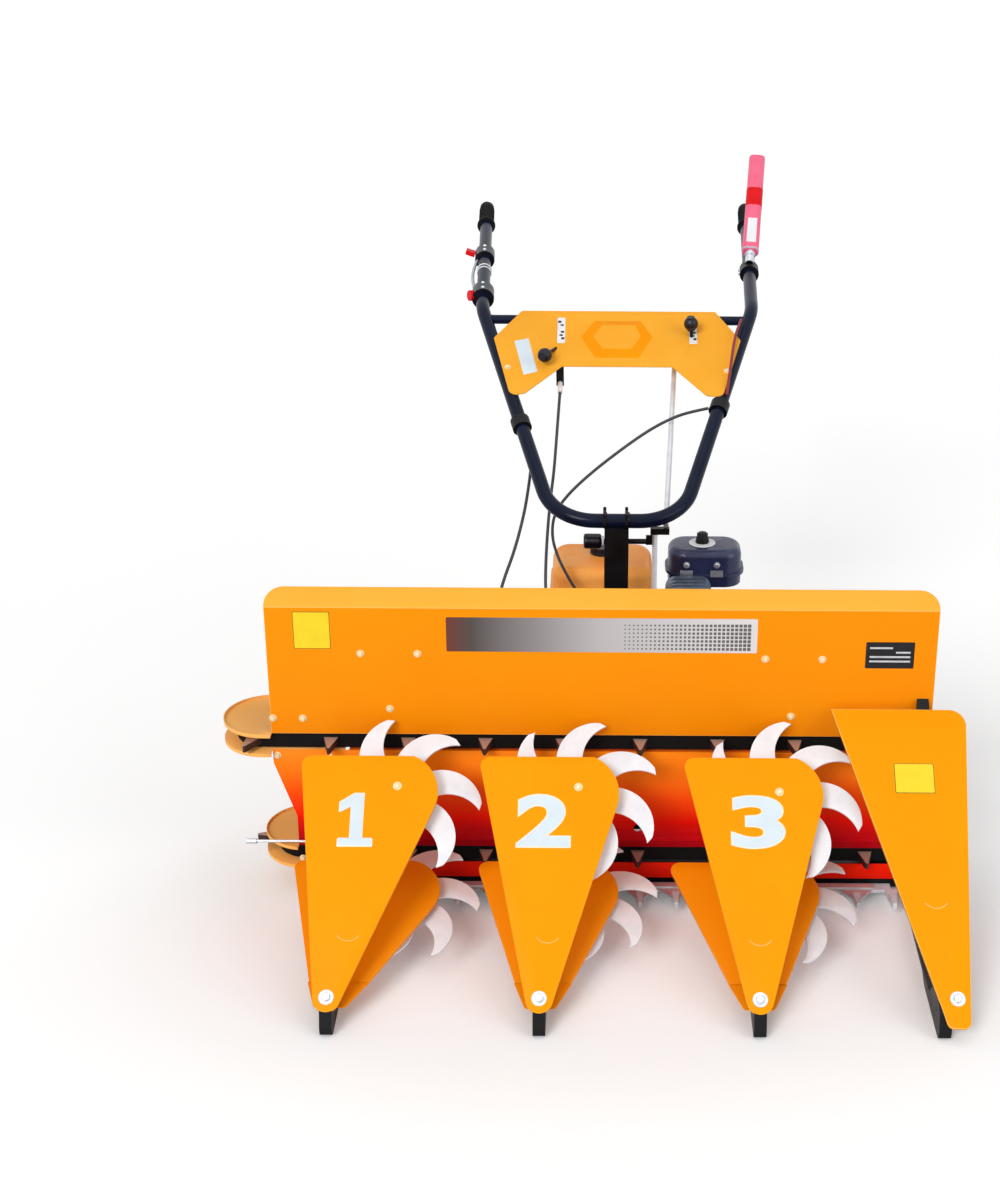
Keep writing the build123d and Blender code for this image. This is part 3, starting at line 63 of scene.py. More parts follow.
# the photograph's camera, placed in the machine's drawing
photoView = {
    "eye": (-35.0, -3082.0, 2235.5),
    "down": 23.5,            # degrees below level
    "roll": -0.4,
    "lens": 58.5,            # on the sensor's width, both in mm
    "sensor": 36,
    "shift": (-0.0885, 0.0),
    "farthest": 200,         # metres
}
camera = bpy.data.objects.new("camera", bpy.data.cameras.new("camera"))
bpy.context.scene.collection.objects.link(camera)
camera.location = place(photoView["eye"])
camera.rotation_euler = (math.radians(90 - photoView["down"]), math.radians(photoView["roll"]), 0)
camera.data.lens = photoView["lens"]
camera.data.sensor_width = photoView["sensor"]
camera.data.shift_x, camera.data.shift_y = photoView["shift"]
camera.data.clip_end = photoView["farthest"]
bpy.context.scene.camera = camera
bpy.context.scene.view_settings.view_transform = "Standard"


# an sRGB code as the linear colour that shaders take
def hexColour(code):
    channels = [int(code[i:i + 2], 16) / 255 for i in (1, 3, 5)]
    return tuple(c / 12.92 if c <= 0.04045 else ((c + 0.055) / 1.055) ** 2.4 for c in channels) + (1.0,)


# one shader node: settings are its properties, inputs are values or another node's output
def addNode(tree, kind, inputs=(), **settings):
    node = tree.nodes.new("ShaderNode" + kind)
    for name, value in settings.items():
        setattr(node, name, value)
    for name, value in dict(inputs).items():
        if isinstance(value, bpy.types.NodeSocket):
            tree.links.new(value, node.inputs[name])
        else:
            node.inputs[name].default_value = value
    return node


def newMaterial(name):
    material = bpy.data.materials.new(name)
    material.use_nodes = True
    tree = material.node_tree
    tree.nodes.clear()
    shader = addNode(tree, "BsdfPrincipled")
    addNode(tree, "OutputMaterial", inputs={"Surface": shader.outputs[0]})
    position = addNode(tree, "TexCoord").outputs["Object"]
    return material, tree, shader, position


# colours at places between 0 and 1 along a value
def colourRamp(tree, value, stops):
    ramp = addNode(tree, "ValToRGB", {"Fac": value})
    for at, code in stops[2:]:
        ramp.color_ramp.elements.new(at)
    for element, (at, code) in zip(ramp.color_ramp.elements, stops):
        element.position = at
        element.color = hexColour(code)
    return ramp.outputs["Color"]


# colour, colour of the patches on it, their size in mm and strength, lowest and highest
# roughness, the grain's size in mm and its relief; the last column holds what few finishes have
lookColumns = ("colour", "patchColour", "patchMm", "patchStrength", "roughness", "grainMm", "relief")
coatSheen = {"specular": 0.06}
finishes = {
    # powder coat on pressed steel: even colour, soft gloss, faint orange-peel
    "powderCoatOrange": ("#FD9406", "#F98D04", 260, 0.6, (0.34, 0.44), 3.0, 0.03, coatSheen),
    # the covers are a little yellower and brighter where light falls on the slope
    "powderCoatCover": ("#FCA106", "#F89804", 180, 0.6, (0.34, 0.44), 3.0, 0.03, coatSheen),
    "powderCoatSide": ("#FCA004", "#F99A06", 220, 0.6, (0.34, 0.44), 3.0, 0.03, coatSheen),
    # painted highlight: the folded edges are painted as a thin pale line, as the light they catch
    "powderCoatEdge": ("#FFCB78", "#FFC062", 120, 0.6, (0.3, 0.4), 3.0, 0.03, coatSheen),
    # painted light: the top flange faces the light and is painted a tone paler than the wall
    "powderCoatFlange": ("#FFB540", "#FDAE34", 200, 0.6, (0.34, 0.44), 3.0, 0.03, coatSheen),
    "powderCoatDash": ("#FDB035", "#FAA628", 90, 0.7, (0.34, 0.44), 3.0, 0.03, coatSheen),
    # painted shade: the middle panel lies in the belts' shade and is painted red-orange
    "powderCoatDeep": ("#FA6A10", "#F0440C", 240, 0.9, (0.36, 0.46), 3.0, 0.03, coatSheen),
    # painted light: the belt noses are the header's orange painted paler, as lit on their tops
    "powderCoatNose": ("#FFBE6A", "#FFB054", 120, 0.7, (0.34, 0.44), 3.0, 0.03, coatSheen),
    "hexagonEnamel": ("#FF9C06", "#FC9202", 60, 0.6, (0.34, 0.44), 3.0, 0.03, coatSheen),
    # moulded tank enamel, orange in cloudy patches
    "tankEnamel": ("#FFAC54", "#FF8E2A", 60, 0.8, (0.28, 0.4), 3.0, 0.03, {"specular": 0.12}),
    # satin black enamel on bars, tubes and brackets, rubbed a little greyer in places
    "satinBlackEnamel": ("#07080C", "#14161C", 70, 0.7, (0.34, 0.5), 2.5, 0.05, {"specular": 0.22}),
    # glossy blue-black stove enamel on the handle tubes
    "handleEnamel": ("#0C142A", "#16223E", 90, 0.6, (0.16, 0.26), 3.0, 0.03, {"specular": 0.12}),
    "rimEnamel": ("#DADBDD", "#C2C3C6", 50, 0.6, (0.35, 0.48), 2.5, 0.04, {}),
    # injection-moulded nylon, pale grey with milky patches
    "mouldedWhiteNylon": ("#F2F3F7", "#DCDDE6", 45, 0.7, (0.38, 0.55), 2.0, 0.05, {"specular": 0.3}),
    "lugNylon": ("#9A7464", "#7A5849", 18, 0.8, (0.45, 0.6), 1.5, 0.08, {}),
    # moulded belt rubber, with a dusty bloom
    "beltRubber": ("#060607", "#131215", 40, 0.8, (0.55, 0.75), 1.5, 0.12, {"specular": 0.15}),
    "tyreRubber": ("#17171A", "#2E2C2B", 60, 0.8, (0.68, 0.86), 2.0, 0.2, {}),
    "gripRubber": ("#07070A", "#121216", 20, 0.8, (0.6, 0.78), 1.6, 0.3, {"specular": 0.2}),
    "paintedCasting": ("#23242A", "#3A3B42", 35, 0.8, (0.4, 0.6), 1.6, 0.2, {}),
    # shot-blasted guard castings: pale grey with a dull shine
    "guardSteel": ("#E2E3E8", "#B9BAC2", 24, 0.8, (0.36, 0.52), 1.2, 0.15, {"metallic": 0.1}),
    # ground knife steel, with fine streaks across the sections
    "groundSteel": ("#D9DADC", "#A9AAB0", 26, 0.8, (0.26, 0.42), 1.2, 0.08,
                    {"metallic": 0.5, "stretch": (1, 6, 1)}),
    # sand-blasted die-cast aluminium: fine pits and a dull shine
    "diecastAlloy": ("#A7A8AB", "#838488", 22, 0.8, (0.42, 0.6), 1.2, 0.25, {"metallic": 0.75}),
    "mufflerSteel": ("#6E7C90", "#3E4858", 30, 0.9, (0.4, 0.6), 1.6, 0.15, {"metallic": 0.7}),
    # bright zinc plate: pale, slightly blue and cloudy
    "zincPlate": ("#DDE1E8", "#B5BBC8", 14, 0.8, (0.24, 0.4), 1.0, 0.06, {"metallic": 0.8}),
    # zinc bolts under a drift of overspray: cream rather than silver
    "creamZinc": ("#F7E6BC", "#E3C27E", 6, 0.8, (0.35, 0.5), 1.0, 0.05, {"metallic": 0.2}),
    # the shift rods are dull white zinc
    "whiteZinc": ("#E9EAEE", "#C9D2DE", 24, 0.7, (0.3, 0.45), 1.2, 0.05, {"metallic": 0.2}),
    "anodisedPlate": ("#16171A", "#26272B", 12, 0.6, (0.3, 0.42), 1.0, 0.04, {"metallic": 0.4}),
    # glass-filled housings, faintly blue-black with a moulded grain
    "mouldedDarkPlastic": ("#0A0C16", "#141A2C", 40, 0.7, (0.26, 0.38), 1.4, 0.08, {"specular": 0.35}),
    # blue-black mouldings round the air cleaner, glossier than the grips
    "navyMoulding": ("#2A3258", "#161A34", 50, 0.7, (0.2, 0.32), 1.6, 0.05, {"specular": 0.45}),
    "redPlastic": ("#E6101C", "#CC0A16", 20, 0.6, (0.3, 0.42), 1.4, 0.05, {"specular": 0.12}),
    "pinkSleeve": ("#F7688A", "#EE5478", 45, 0.8, (0.3, 0.42), 1.6, 0.05, {}),
    "lilacRim": ("#CDB6C8", "#B79BB2", 16, 0.7, (0.3, 0.42), 1.6, 0.05, {}),
    # extruded plastic round the control cables
    "cableSheath": ("#2B2A33", "#45434E", 16, 0.7, (0.4, 0.55), 1.2, 0.05, {}),
    "paleSheath": ("#B9C3CC", "#9AA6B2", 16, 0.7, (0.4, 0.55), 1.2, 0.05, {}),
    "redSheath": ("#8E1B2C", "#5E101D", 16, 0.7, (0.35, 0.5), 1.2, 0.05, {}),
    # vinyl films: flat print under a thin gloss
    "yellowFilm": ("#F8D808", "#EFCB06", 30, 0.6, (0.3, 0.4), 2.0, 0.02, {}),
    "creamFilm": ("#FFF1CF", "#F8E6B8", 30, 0.6, (0.3, 0.4), 2.0, 0.02, {}),
    "paleBlueFilm": ("#DCE9F1", "#D0E0EA", 30, 0.6, (0.3, 0.4), 2.0, 0.02, {}),
    "whiteFilm": ("#EEF1F4", "#DFE5EA", 16, 0.6, (0.3, 0.4), 2.0, 0.02, {}),
    "badgeSquare": ("#5B5558", "#6D676A", 30, 0.6, (0.3, 0.4), 2.0, 0.02, {}),
}


# patches of a second colour, roughness that wanders, and fine relief
def finishedMaterial(name, row):
    look = {"stretch": (1, 1, 1), "metallic": 0.0, "specular": 0.5, **dict(zip(lookColumns, row)), **row[-1]}
    material, tree, shader, position = newMaterial(name)
    if look["stretch"] != (1, 1, 1):
        stretched = addNode(tree, "Mapping", {"Vector": position, "Scale": look["stretch"]})
        position = stretched.outputs[0]
    patches = addNode(tree, "TexNoise", {
        "Vector": position, "Scale": 1000 / look["patchMm"], "Detail": 4.0, "Roughness": 0.6})
    spread = addNode(tree, "MapRange", {
        "Value": patches.outputs["Fac"], "From Min": 0.42, "From Max": 0.78,
        "To Min": 0.0, "To Max": look["patchStrength"]})
    colour = addNode(tree, "Mix", {"Factor": spread.outputs[0]}, data_type="RGBA")
    # Mix keeps one A and B for each kind of value, so the colour ones are set by index
    colour.inputs[6].default_value = hexColour(look["colour"])
    colour.inputs[7].default_value = hexColour(look["patchColour"])
    tree.links.new(colour.outputs[2], shader.inputs["Base Color"])
    rough = addNode(tree, "MapRange", {
        "Value": patches.outputs["Fac"], "From Min": 0.3, "From Max": 0.7,
        "To Min": look["roughness"][0], "To Max": look["roughness"][1]})
    tree.links.new(rough.outputs[0], shader.inputs["Roughness"])
    grain = addNode(tree, "TexNoise", {
        "Vector": position, "Scale": 1000 / look["grainMm"], "Detail": 2.0})
    relief = addNode(tree, "Bump", {
        "Height": grain.outputs["Fac"], "Strength": look["relief"], "Distance": 0.001})
    tree.links.new(relief.outputs[0], shader.inputs["Normal"])
    shader.inputs["Metallic"].default_value = look["metallic"]
    shader.inputs["Specular IOR Level"].default_value = look["specular"]
    return material, tree, shader, position


# a finish whose colour follows height, between two heights in mm, used for painted shade and light; the bands
# wander by drift mm
def heightShaded(name, base, low, high, drift, stops):
    material, tree, shader, position = finishedMaterial(name, finishes[base])
    height = addNode(tree, "SeparateXYZ", {"Vector": position}).outputs["Z"]
    wander = addNode(tree, "TexNoise", {"Vector": position, "Scale": 4.0, "Detail": 2.0})
    mixed = addNode(tree, "Math", {
        0: wander.outputs["Fac"], 1: drift / 1000, 2: height}, operation="MULTIPLY_ADD")
    along = addNode(tree, "MapRange", {
        "Value": mixed.outputs[0],
        "From Min": (low + drift / 2) / 1000, "From Max": (high + drift / 2) / 1000})
    tree.links.new(colourRamp(tree, along.outputs[0], stops), shader.inputs["Base Color"])
    return material


# printed film: dark at its left end, silver further along, left blank
def badgeFilm(left, right):
    material, tree, shader, position = newMaterial("printedBadgeFilm")
    across = addNode(tree, "SeparateXYZ", {"Vector": position})
    along = addNode(tree, "MapRange", {
        "Value": across.outputs["X"], "From Min": place((left, 0, 0)).x, "From Max": place((right, 0, 0)).x})
    stops = ((0.0, "#6B2A1E"), (0.08, "#4A4240"), (0.3, "#8E8A8C"), (0.5, "#B9B6B8"), (1.0, "#DDDCDD"))
    tree.links.new(colourRamp(tree, along.outputs[0], stops), shader.inputs["Base Color"])
    shader.inputs["Roughness"].default_value = 0.32
    return material


shades = {
    # painted shade: the middle sheet turns from orange at its top to red above the lower belt, in the belts'
    # shade
    "shadedMidPanel": ("powderCoatDeep", 125, 335, 50, (
        (0.0, "#B80418"), (0.16, "#D80A12"), (0.3, "#FF1400"), (0.55, "#FF4E06"), (0.8, "#FF7A10"),
        (1.0, "#FF8A14"))),
    # painted shade: the skirt under the lower belt is painted red, darker at its foot
    "shadedSkirt": ("powderCoatDeep", 20, 100, 50, ((0.0, "#F01408"), (1.0, "#FF2402"))),
}
# brown lugs: painted light and shade, pale on their flat tops where light falls and dark down their flanks
for belt in ("upper", "lower"):
    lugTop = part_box(belt + "_belt_lugs")[1][2] * 1000
    litTopsShadedFlanks = ((0.0, "#2A1715"), (1.0, "#B08C7C"))
    shades[belt + "LugNylon"] = ("lugNylon", lugTop - 2.0, lugTop - 0.3, 0, litTopsShadedFlanks)
badgeEnds = (-345, 280)
materials = {name: finishedMaterial(name, row)[0] for name, row in finishes.items()}
materials["badgeFilm"] = badgeFilm(*badgeEnds)
for name, shade in shades.items():
    materials[name] = heightShaded(name, *shade)

nodesByFinish = {
    "powderCoatOrange": ("header_back_panel", "divider_lower_covers"),
    "shadedMidPanel": ("header_mid_panel",),
    "shadedSkirt": ("header_skirt",),
    "powderCoatNose": ("upper_discharge_guard", "lower_discharge_guard"),
    "powderCoatCover": ("divider_upper_covers",),
    "powderCoatSide": ("side_divider_plate",),
    "powderCoatDash": ("control_panel",),
    "tankEnamel": ("fuel_tank",),
    "beltRubber": ("upper_belt", "lower_belt"),
    "upperLugNylon": ("upper_belt_lugs",),
    "lowerLugNylon": ("lower_belt_lugs",),
    "mouldedWhiteNylon": starNodes,
    "paintedCasting": ("belt_drive_pulleys", "belt_idler_pulleys", "header_drive", "gearbox",
                       "clutch_housing"),
    "satinBlackEnamel": ("header_frame", "star_brackets", "divider_arms", "side_divider_arm", "handle_stem",
                         "engine_bed", "tank_bracket", "handle_clamp", "control_linkage", "clutch_lever"),
    "handleEnamel": ("handlebar", "crossbar"),
    "guardSteel": ("cutter_bar",),
    "groundSteel": ("knife",),
    "zincPlate": ("guide_wire",),
    "whiteZinc": ("shift_rods",),
    "tyreRubber": ("tyre_left", "tyre_right"),
    "rimEnamel": ("wheel_rim_left", "wheel_rim_right"),
    "diecastAlloy": ("engine_block",),
    "mufflerSteel": ("muffler",),
    "mouldedDarkPlastic": ("recoil_starter", "fuel_cap", "air_filter_elbow", "lever_knobs",
                           "control_housings"),
    "navyMoulding": ("air_filter",),
    "gripRubber": ("grips",),
    "redPlastic": ("thumb_controls",),
    "pinkSleeve": ("clutch_sleeve",),
}
for finish, names in nodesByFinish.items():
    for name in names:
        nodes[name].data.materials.clear()
        nodes[name].data.materials.append(materials[finish])
print("materials:", len(materials))

# control cables: diameter in mm, lengths in metres, routes from end to end through points in mm
cables = {
    "diameter": 7.0,
    "sheaths": {"cable_throttle": "redSheath"},
    "lengths": {"cable_gearbox": 0.720, "cable_header": 0.715, "cable_clutch": 0.751,
                "cable_throttle": 0.256},
    "routes": {
        "cable_gearbox": (
            (-134, 1309.4, 855.6), (-139, 1232, 790), (-144, 1150, 722), (-150, 1092, 682), (-155, 1040, 638),
            (-159, 985, 574), (-160, 945, 508), (-152, 921, 446), (-130, 906, 394), (-98, 898, 361),
            (-59, 897, 352)),
        "cable_header": (
            (-200.6, 1162, 806.6), (-194, 1126, 783), (-194, 1086, 757), (-198, 1036, 725), (-206, 960, 685),
            (-224, 868, 634), (-248, 786, 590), (-262, 722, 540), (-266, 676, 486), (-263, 640, 446),
            (-260, 606, 430), (-259, 576.4, 427)),
        "cable_clutch": (
            (210.7, 1217, 850), (174, 1214, 843), (134, 1209, 832), (78, 1197, 806), (11, 1180, 762),
            (-58, 1148, 716), (-112, 1110, 676), (-143, 1080, 640), (-148, 1050, 598), (-135, 1028, 558),
            (-113, 1010, 518), (-86, 998, 476), (-62, 1000, 440), (-46, 1010, 410), (-40, 1018, 385.4)),
        "cable_throttle": (
            (296, 1452, 996), (289, 1426, 989), (281, 1398, 978), (274, 1362, 962), (268, 1322, 941),
            (262, 1285, 918), (257, 1256, 898), (252, 1232, 878)),
    },
}


def controlCable(name, route):
    curve = bpy.data.curves.new(name + "_sheath", "CURVE")
    curve.dimensions = "3D"
    curve.resolution_u = 8
    curve.bevel_depth = cables["diameter"] / 2000
    curve.bevel_resolution = 3
    curve.use_fill_caps = True
    spline = curve.splines.new("NURBS")
    spline.points.add(len(route) - 1)
    for point, at in zip(spline.points, route):
        point.co = (*place(at), 1)
    spline.order_u = 3
    spline.use_endpoint_u = True
    cable = bpy.data.objects.new(name + "_sheath", curve)
    bpy.context.scene.collection.objects.link(cable)
    curve.materials.append(materials[cables["sheaths"].get(name, "cableSheath")])
    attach(cable, "chassis")
    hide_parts(name)


for name, route in cables["routes"].items():
    controlCable(name, route)
print("cables:", len(cables["routes"]))

# floor, world and lamps
studio = {
    "floor": "#FFFFFF",
    "floorSize": 60,         # metres from the middle
    "floorRoughness": 0.9,
    "floorSpecular": 0.1,
    # painted shadow: what the camera sees on top of the lit floor is less close to the header, so the floor
    # is painted darker round it
    "floorGlow": {"near": 0.1, "far": 0.2, "middle": (0.0, -0.82), "reach": (1.0, 0.5), "fade": (0.7, 1.3)},
    "worldStrength": 0.32,
    "suns": {                # name: where the light comes from, its spread in degrees, its strength
        "keySun": ((-0.40, -0.80, 0.55), 24, 1.6),
        "fillSun": ((0.75, -0.55, 0.45), 40, 0.62),
        "topSun": ((0.0, -0.15, 1.0), 60, 0.45),
    },
}
bm = bmesh.new()
bmesh.ops.create_grid(bm, x_segments=1, y_segments=1, size=studio["floorSize"])
floorMesh = bpy.data.meshes.new("floor")
bm.to_mesh(floorMesh)
bm.free()
floor = bpy.data.objects.new("floor", floorMesh)
bpy.context.scene.collection.objects.link(floor)
floorMaterial, tree, shader, position = newMaterial("paleFloor")
shader.inputs["Base Color"].default_value = hexColour(studio["floor"])
shader.inputs["Roughness"].default_value = studio["floorRoughness"]
shader.inputs["Specular IOR Level"].default_value = studio["floorSpecular"]
glow = studio["floorGlow"]
# painted shadow: the glow fades to its near value round the header
shares = addNode(tree, "Mapping", {
    "Vector": position, "Scale": (1 / glow["reach"][0], 1 / glow["reach"][1], 1.0),
    "Location": (-glow["middle"][0] / glow["reach"][0], -glow["middle"][1] / glow["reach"][1], 0.0)})
fromHeader = addNode(tree, "VectorMath", {0: shares.outputs[0]}, operation="LENGTH")
glowHere = addNode(tree, "MapRange", {
    "Value": fromHeader.outputs["Value"], "From Min": glow["fade"][0], "From Max": glow["fade"][1],
    "To Min": glow["near"], "To Max": glow["far"]}, interpolation_type="SMOOTHSTEP")
seen = addNode(tree, "LightPath").outputs["Is Camera Ray"]
glowSeen = addNode(tree, "Math", {0: seen, 1: glowHere.outputs[0]}, operation="MULTIPLY")
shader.inputs["Emission Color"].default_value = (1, 1, 1, 1)
tree.links.new(glowSeen.outputs[0], shader.inputs["Emission Strength"])
floorMesh.materials.append(floorMaterial)

# the backdrop is white to the eye and in reflections, and lights the machine more weakly
world = bpy.data.worlds.new("studio")
bpy.context.scene.world = world
world.use_nodes = True
tree = world.node_tree
tree.nodes.clear()
paths = addNode(tree, "LightPath").outputs
direct = addNode(tree, "Math", {
    0: paths["Is Camera Ray"], 1: paths["Is Glossy Ray"]}, operation="MAXIMUM")
seen = addNode(tree, "Math", {
    0: direct.outputs[0], 1: paths["Is Transmission Ray"]}, operation="MAXIMUM")
level = addNode(tree, "MapRange", {
    "Value": seen.outputs[0], "To Min": studio["worldStrength"], "To Max": 1.0})
backdrop = addNode(tree, "Background", {"Color": (1, 1, 1, 1), "Strength": level.outputs[0]})
addNode(tree, "OutputWorld", {"Surface": backdrop.outputs[0]})

for name, (source, spread, strength) in studio["suns"].items():
    sun = bpy.data.lights.new(name, "SUN")
    sun.energy = strength
    sun.angle = math.radians(spread)
    lamp = bpy.data.objects.new(name, sun)
    lamp.rotation_euler = Vector(source).to_track_quat("Z", "Y").to_euler()
    bpy.context.scene.collection.objects.link(lamp)
print("studio ready")


# where carries the piece's own millimetres to the machine's drawing
def finishPiece(name, bm, where, finishNames, body="chassis", instead=(), sharp=35):
    bmesh.ops.recalc_face_normals(bm, faces=bm.faces)
    mesh = bpy.data.meshes.new(name)
    bm.to_mesh(mesh)
    bm.free()
    mesh.transform(toModel @ where)
    for polygon in mesh.polygons:
        polygon.use_smooth = True
    mesh.set_sharp_from_angle(angle=math.radians(sharp))
    for finish in finishNames:
        mesh.materials.append(materials[finish])
    piece = bpy.data.objects.new(name, mesh)
    bpy.context.scene.collection.objects.link(piece)
    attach(piece, body)
    if instead:
        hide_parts(*instead)


# a piece of like shapes: add draws one from each row
def likeShapes(name, where, finish, add, rows, **how):
    bm = bmesh.new()
    for row in rows:
        add(bm, *row)
    finishPiece(name, bm, where, [finish], **how)


# a piece of one shape: add draws it from what follows
def onePiece(name, where, finish, add, *shape, **how):
    likeShapes(name, where, finish, add, [shape], **how)


def edgesOf(verts):
    return {edge for vert in verts for edge in vert.link_edges}


def roundOver(bm, edges, offset, segments, slide=False):
    return bmesh.ops.bevel(bm, geom=list(edges), offset=offset, offset_type="OFFSET", affect="EDGES",
                           segments=segments, profile=0.5, material=-1, clamp_overlap=True, loop_slide=slide)


# the imported solid with its edges rounded over, so that they catch the light; a second finish is for the
# rounded edges, on most sheets a painted highlight, and the last one also for what faces up above a height,
# painted paler as lit
def softened(node, width, finishNames, body="chassis", segments=2, flangeAbove=None):
    bm = bmesh.new()
    bm.from_mesh(nodes[node].data)
    for face in bm.faces:
        face.material_index = 0
    bmesh.ops.remove_doubles(bm, verts=bm.verts, dist=2e-6)
    bmesh.ops.dissolve_limit(bm, angle_limit=math.radians(0.6), verts=bm.verts, edges=bm.edges)
    rims = [e for e in bm.edges if len(e.link_faces) == 2 and e.calc_face_angle() > math.radians(30)]
    rounded = roundOver(bm, rims, width / 1000, segments, slide=True)
    if len(finishNames) > 1:
        for face in rounded["faces"]:
            face.material_index = 1
    # painted light: faces up above this height take the last, paler finish
    if flangeAbove:
        for face in bm.faces:
            if face.normal.z > 0.4 and face.calc_center_median().z > flangeAbove / 1000:
                face.material_index = len(finishNames) - 1
    finishPiece(node + "_finish", bm, toModel.inverted(), finishNames, body, (node,), sharp=40)


# local z along the normal, at a point
def turnedTo(point, normal):
    return Matrix.Translation(point) @ Vector(normal).to_track_quat("Z", "Y").to_matrix().to_4x4()


# a disc or cone that stands on local z = low
def addCone(bm, where, radius, farRadius, depth, low=0.0, segments=20):
    return bmesh.ops.create_cone(bm, cap_ends=True, segments=segments, radius1=radius, radius2=farRadius,
                                 depth=depth, matrix=where @ Matrix.Translation((0, 0, low + depth / 2)))


# washer, hexagon head and a chamfer, in shares of the thread in mm
def addBolt(bm, where, thread):
    addCone(bm, where, thread * 1.1, thread * 1.05, thread * 0.18)
    head = addCone(bm, where, thread * 0.96, thread * 0.96, thread * 0.62, thread * 0.18, 6)
    roundOver(bm, edgesOf(head["verts"]), thread * 0.09, 1)


# a low round head on a thin washer
def addDomeBolt(bm, where, radius, height):
    washer = 1.2
    addCone(bm, where, radius * 1.35, radius * 1.3, washer, segments=24)
    dome = addCone(bm, where, radius, radius * 0.72, height, washer)
    roundOver(bm, edgesOf(dome["verts"]), height * 0.35, 2)


# a flat plate between (low, high) pairs, with round corners
def addPlate(bm, x, y, z, corner=0.0):
    size = Vector((x[1] - x[0], y[1] - y[0], z[1] - z[0]))
    middle = Vector((x[0] + x[1], y[0] + y[1], z[0] + z[1])) / 2
    fit = Matrix.Translation(middle) @ Matrix.Diagonal((*size, 1))
    cube = bmesh.ops.create_cube(bm, size=1.0, matrix=fit)
    if corner:
        uprights = [e for e in edgesOf(cube["verts"])
                    if abs(e.verts[0].co.z - e.verts[1].co.z) > size.z / 2]
        roundOver(bm, uprights, corner, 5)


# a turned piece that stands on local z = 0, its far rim softened
def addTurned(bm, where, radius, depth, edge, taper=1.0):
    made = addCone(bm, where, radius, radius * taper, depth, segments=32)
    top = where @ Vector((0, 0, depth))
    up = (where.to_3x3() @ Vector((0, 0, 1))).normalized()
    rim = [e for e in edgesOf(made["verts"]) if all(abs((v.co - top).dot(up)) < 1e-3 for v in e.verts)]
    roundOver(bm, rim, edge, 3)


# a closed profile of (radius, height) points turned about local z
def addSpun(bm, where, profile, segments=40):
    points = [bm.verts.new(where @ Vector((radius, 0, height))) for radius, height in profile]
    edges = [bm.edges.new((points[i - 1], points[i])) for i in range(len(points))]
    bmesh.ops.spin(bm, geom=points + edges, cent=where.to_translation(),
                   axis=where.to_3x3() @ Vector((0, 0, 1)), angle=math.radians(360), steps=segments,
                   use_merge=True, use_duplicate=False)


# a ring of a round section, such as a tie or a bead
def addRing(bm, where, radius, thick, segments):
    addSpun(bm, where, [(radius + thick * math.cos(turn), thick * math.sin(turn))
                        for turn in (math.radians(45 * k) for k in range(8))], segments)


# a round rod along a line of points, closed at both ends
def addRod(bm, points, radius, segments):
    line = [Vector(point) for point in points]
    rings = []
    across = (line[1] - line[0]).orthogonal()
    for i, point in enumerate(line):
        ahead = (line[min(i + 1, len(line) - 1)] - line[max(i - 1, 0)]).normalized()
        across = (across - ahead * across.dot(ahead)).normalized()
        over = ahead.cross(across)
        rings.append([bm.verts.new(point + radius * (math.cos(turn) * across + math.sin(turn) * over))
                      for turn in (math.tau * k / segments for k in range(segments))])
    bm.faces.new(rings[0])
    bm.faces.new(rings[-1])
    for low, high in zip(rings, rings[1:]):
        for k in range(segments):
            bm.faces.new((low[k - 1], low[k], high[k], high[k - 1]))


# an outline whose corners are rounded: each point is x, y and the corner's radius
def roundedOutline(points, steps=5):
    line = []
    for i, (x, y, radius) in enumerate(points):
        if not radius:
            line.append((x, y))
            continue
        corner = Vector((x, y))
        before = (Vector(points[i - 1][:2]) - corner).normalized()
        after = (Vector(points[(i + 1) % len(points)][:2]) - corner).normalized()
        half = before.angle(after) / 2
        centre = corner + (before + after).normalized() * radius / math.sin(half)
        start = corner + before * radius / math.tan(half) - centre
        end = corner + after * radius / math.tan(half) - centre
        for k in range(steps + 1):
            line.append(tuple(centre + start.lerp(end, k / steps).normalized() * radius))
    return line


# a rectangle with round corners, about its middle
def roundedBox(middle, half, corner, steps):
    corners = [(middle[0] + i * half[0], middle[1] + j * half[1], corner)
               for i, j in ((-1, -1), (1, -1), (1, 1), (-1, 1))]
    return roundedOutline(corners, steps)


# an outline shrunk about a middle
def shrunk(outline, middle, share):
    return [tuple(Vector(middle) + (Vector(point) - Vector(middle)) * share) for point in outline]


# a flat sheet with holes in it, between two heights, its rims softened
def addSheet(bm, outline, holes, low, high, edge):
    rims = []
    for loop in (outline, *holes):
        ring = [bm.verts.new((*point, low)) for point in loop]
        rims += [bm.edges.new((ring[i - 1], ring[i])) for i in range(len(ring))]
    filled = bmesh.ops.triangle_fill(bm, use_beauty=True, use_dissolve=False, edges=rims, normal=(0, 0, 1))
    faces = [g for g in filled["geom"] if isinstance(g, bmesh.types.BMFace)]
    raised = bmesh.ops.extrude_face_region(bm, geom=faces)["geom"]
    raised = [g for g in raised if isinstance(g, bmesh.types.BMVert)]
    bmesh.ops.translate(bm, vec=(0, 0, high - low), verts=raised)
    top = set(raised)
    lip = {e for v in raised for e in v.link_edges if e.other_vert(v) in top and e.calc_face_angle(0) > 1}
    roundOver(bm, lip, edge, 2)


# a plate whose rim slopes in from one outline to a smaller one
def addRaised(bm, outer, inner, low, high):
    foot = [bm.verts.new((*point, low)) for point in outer]
    top = [bm.verts.new((*point, high)) for point in inner]
    bm.faces.new(foot)
    bm.faces.new(top)
    for k in range(len(outer)):
        bm.faces.new((foot[k - 1], foot[k], top[k], top[k - 1]))


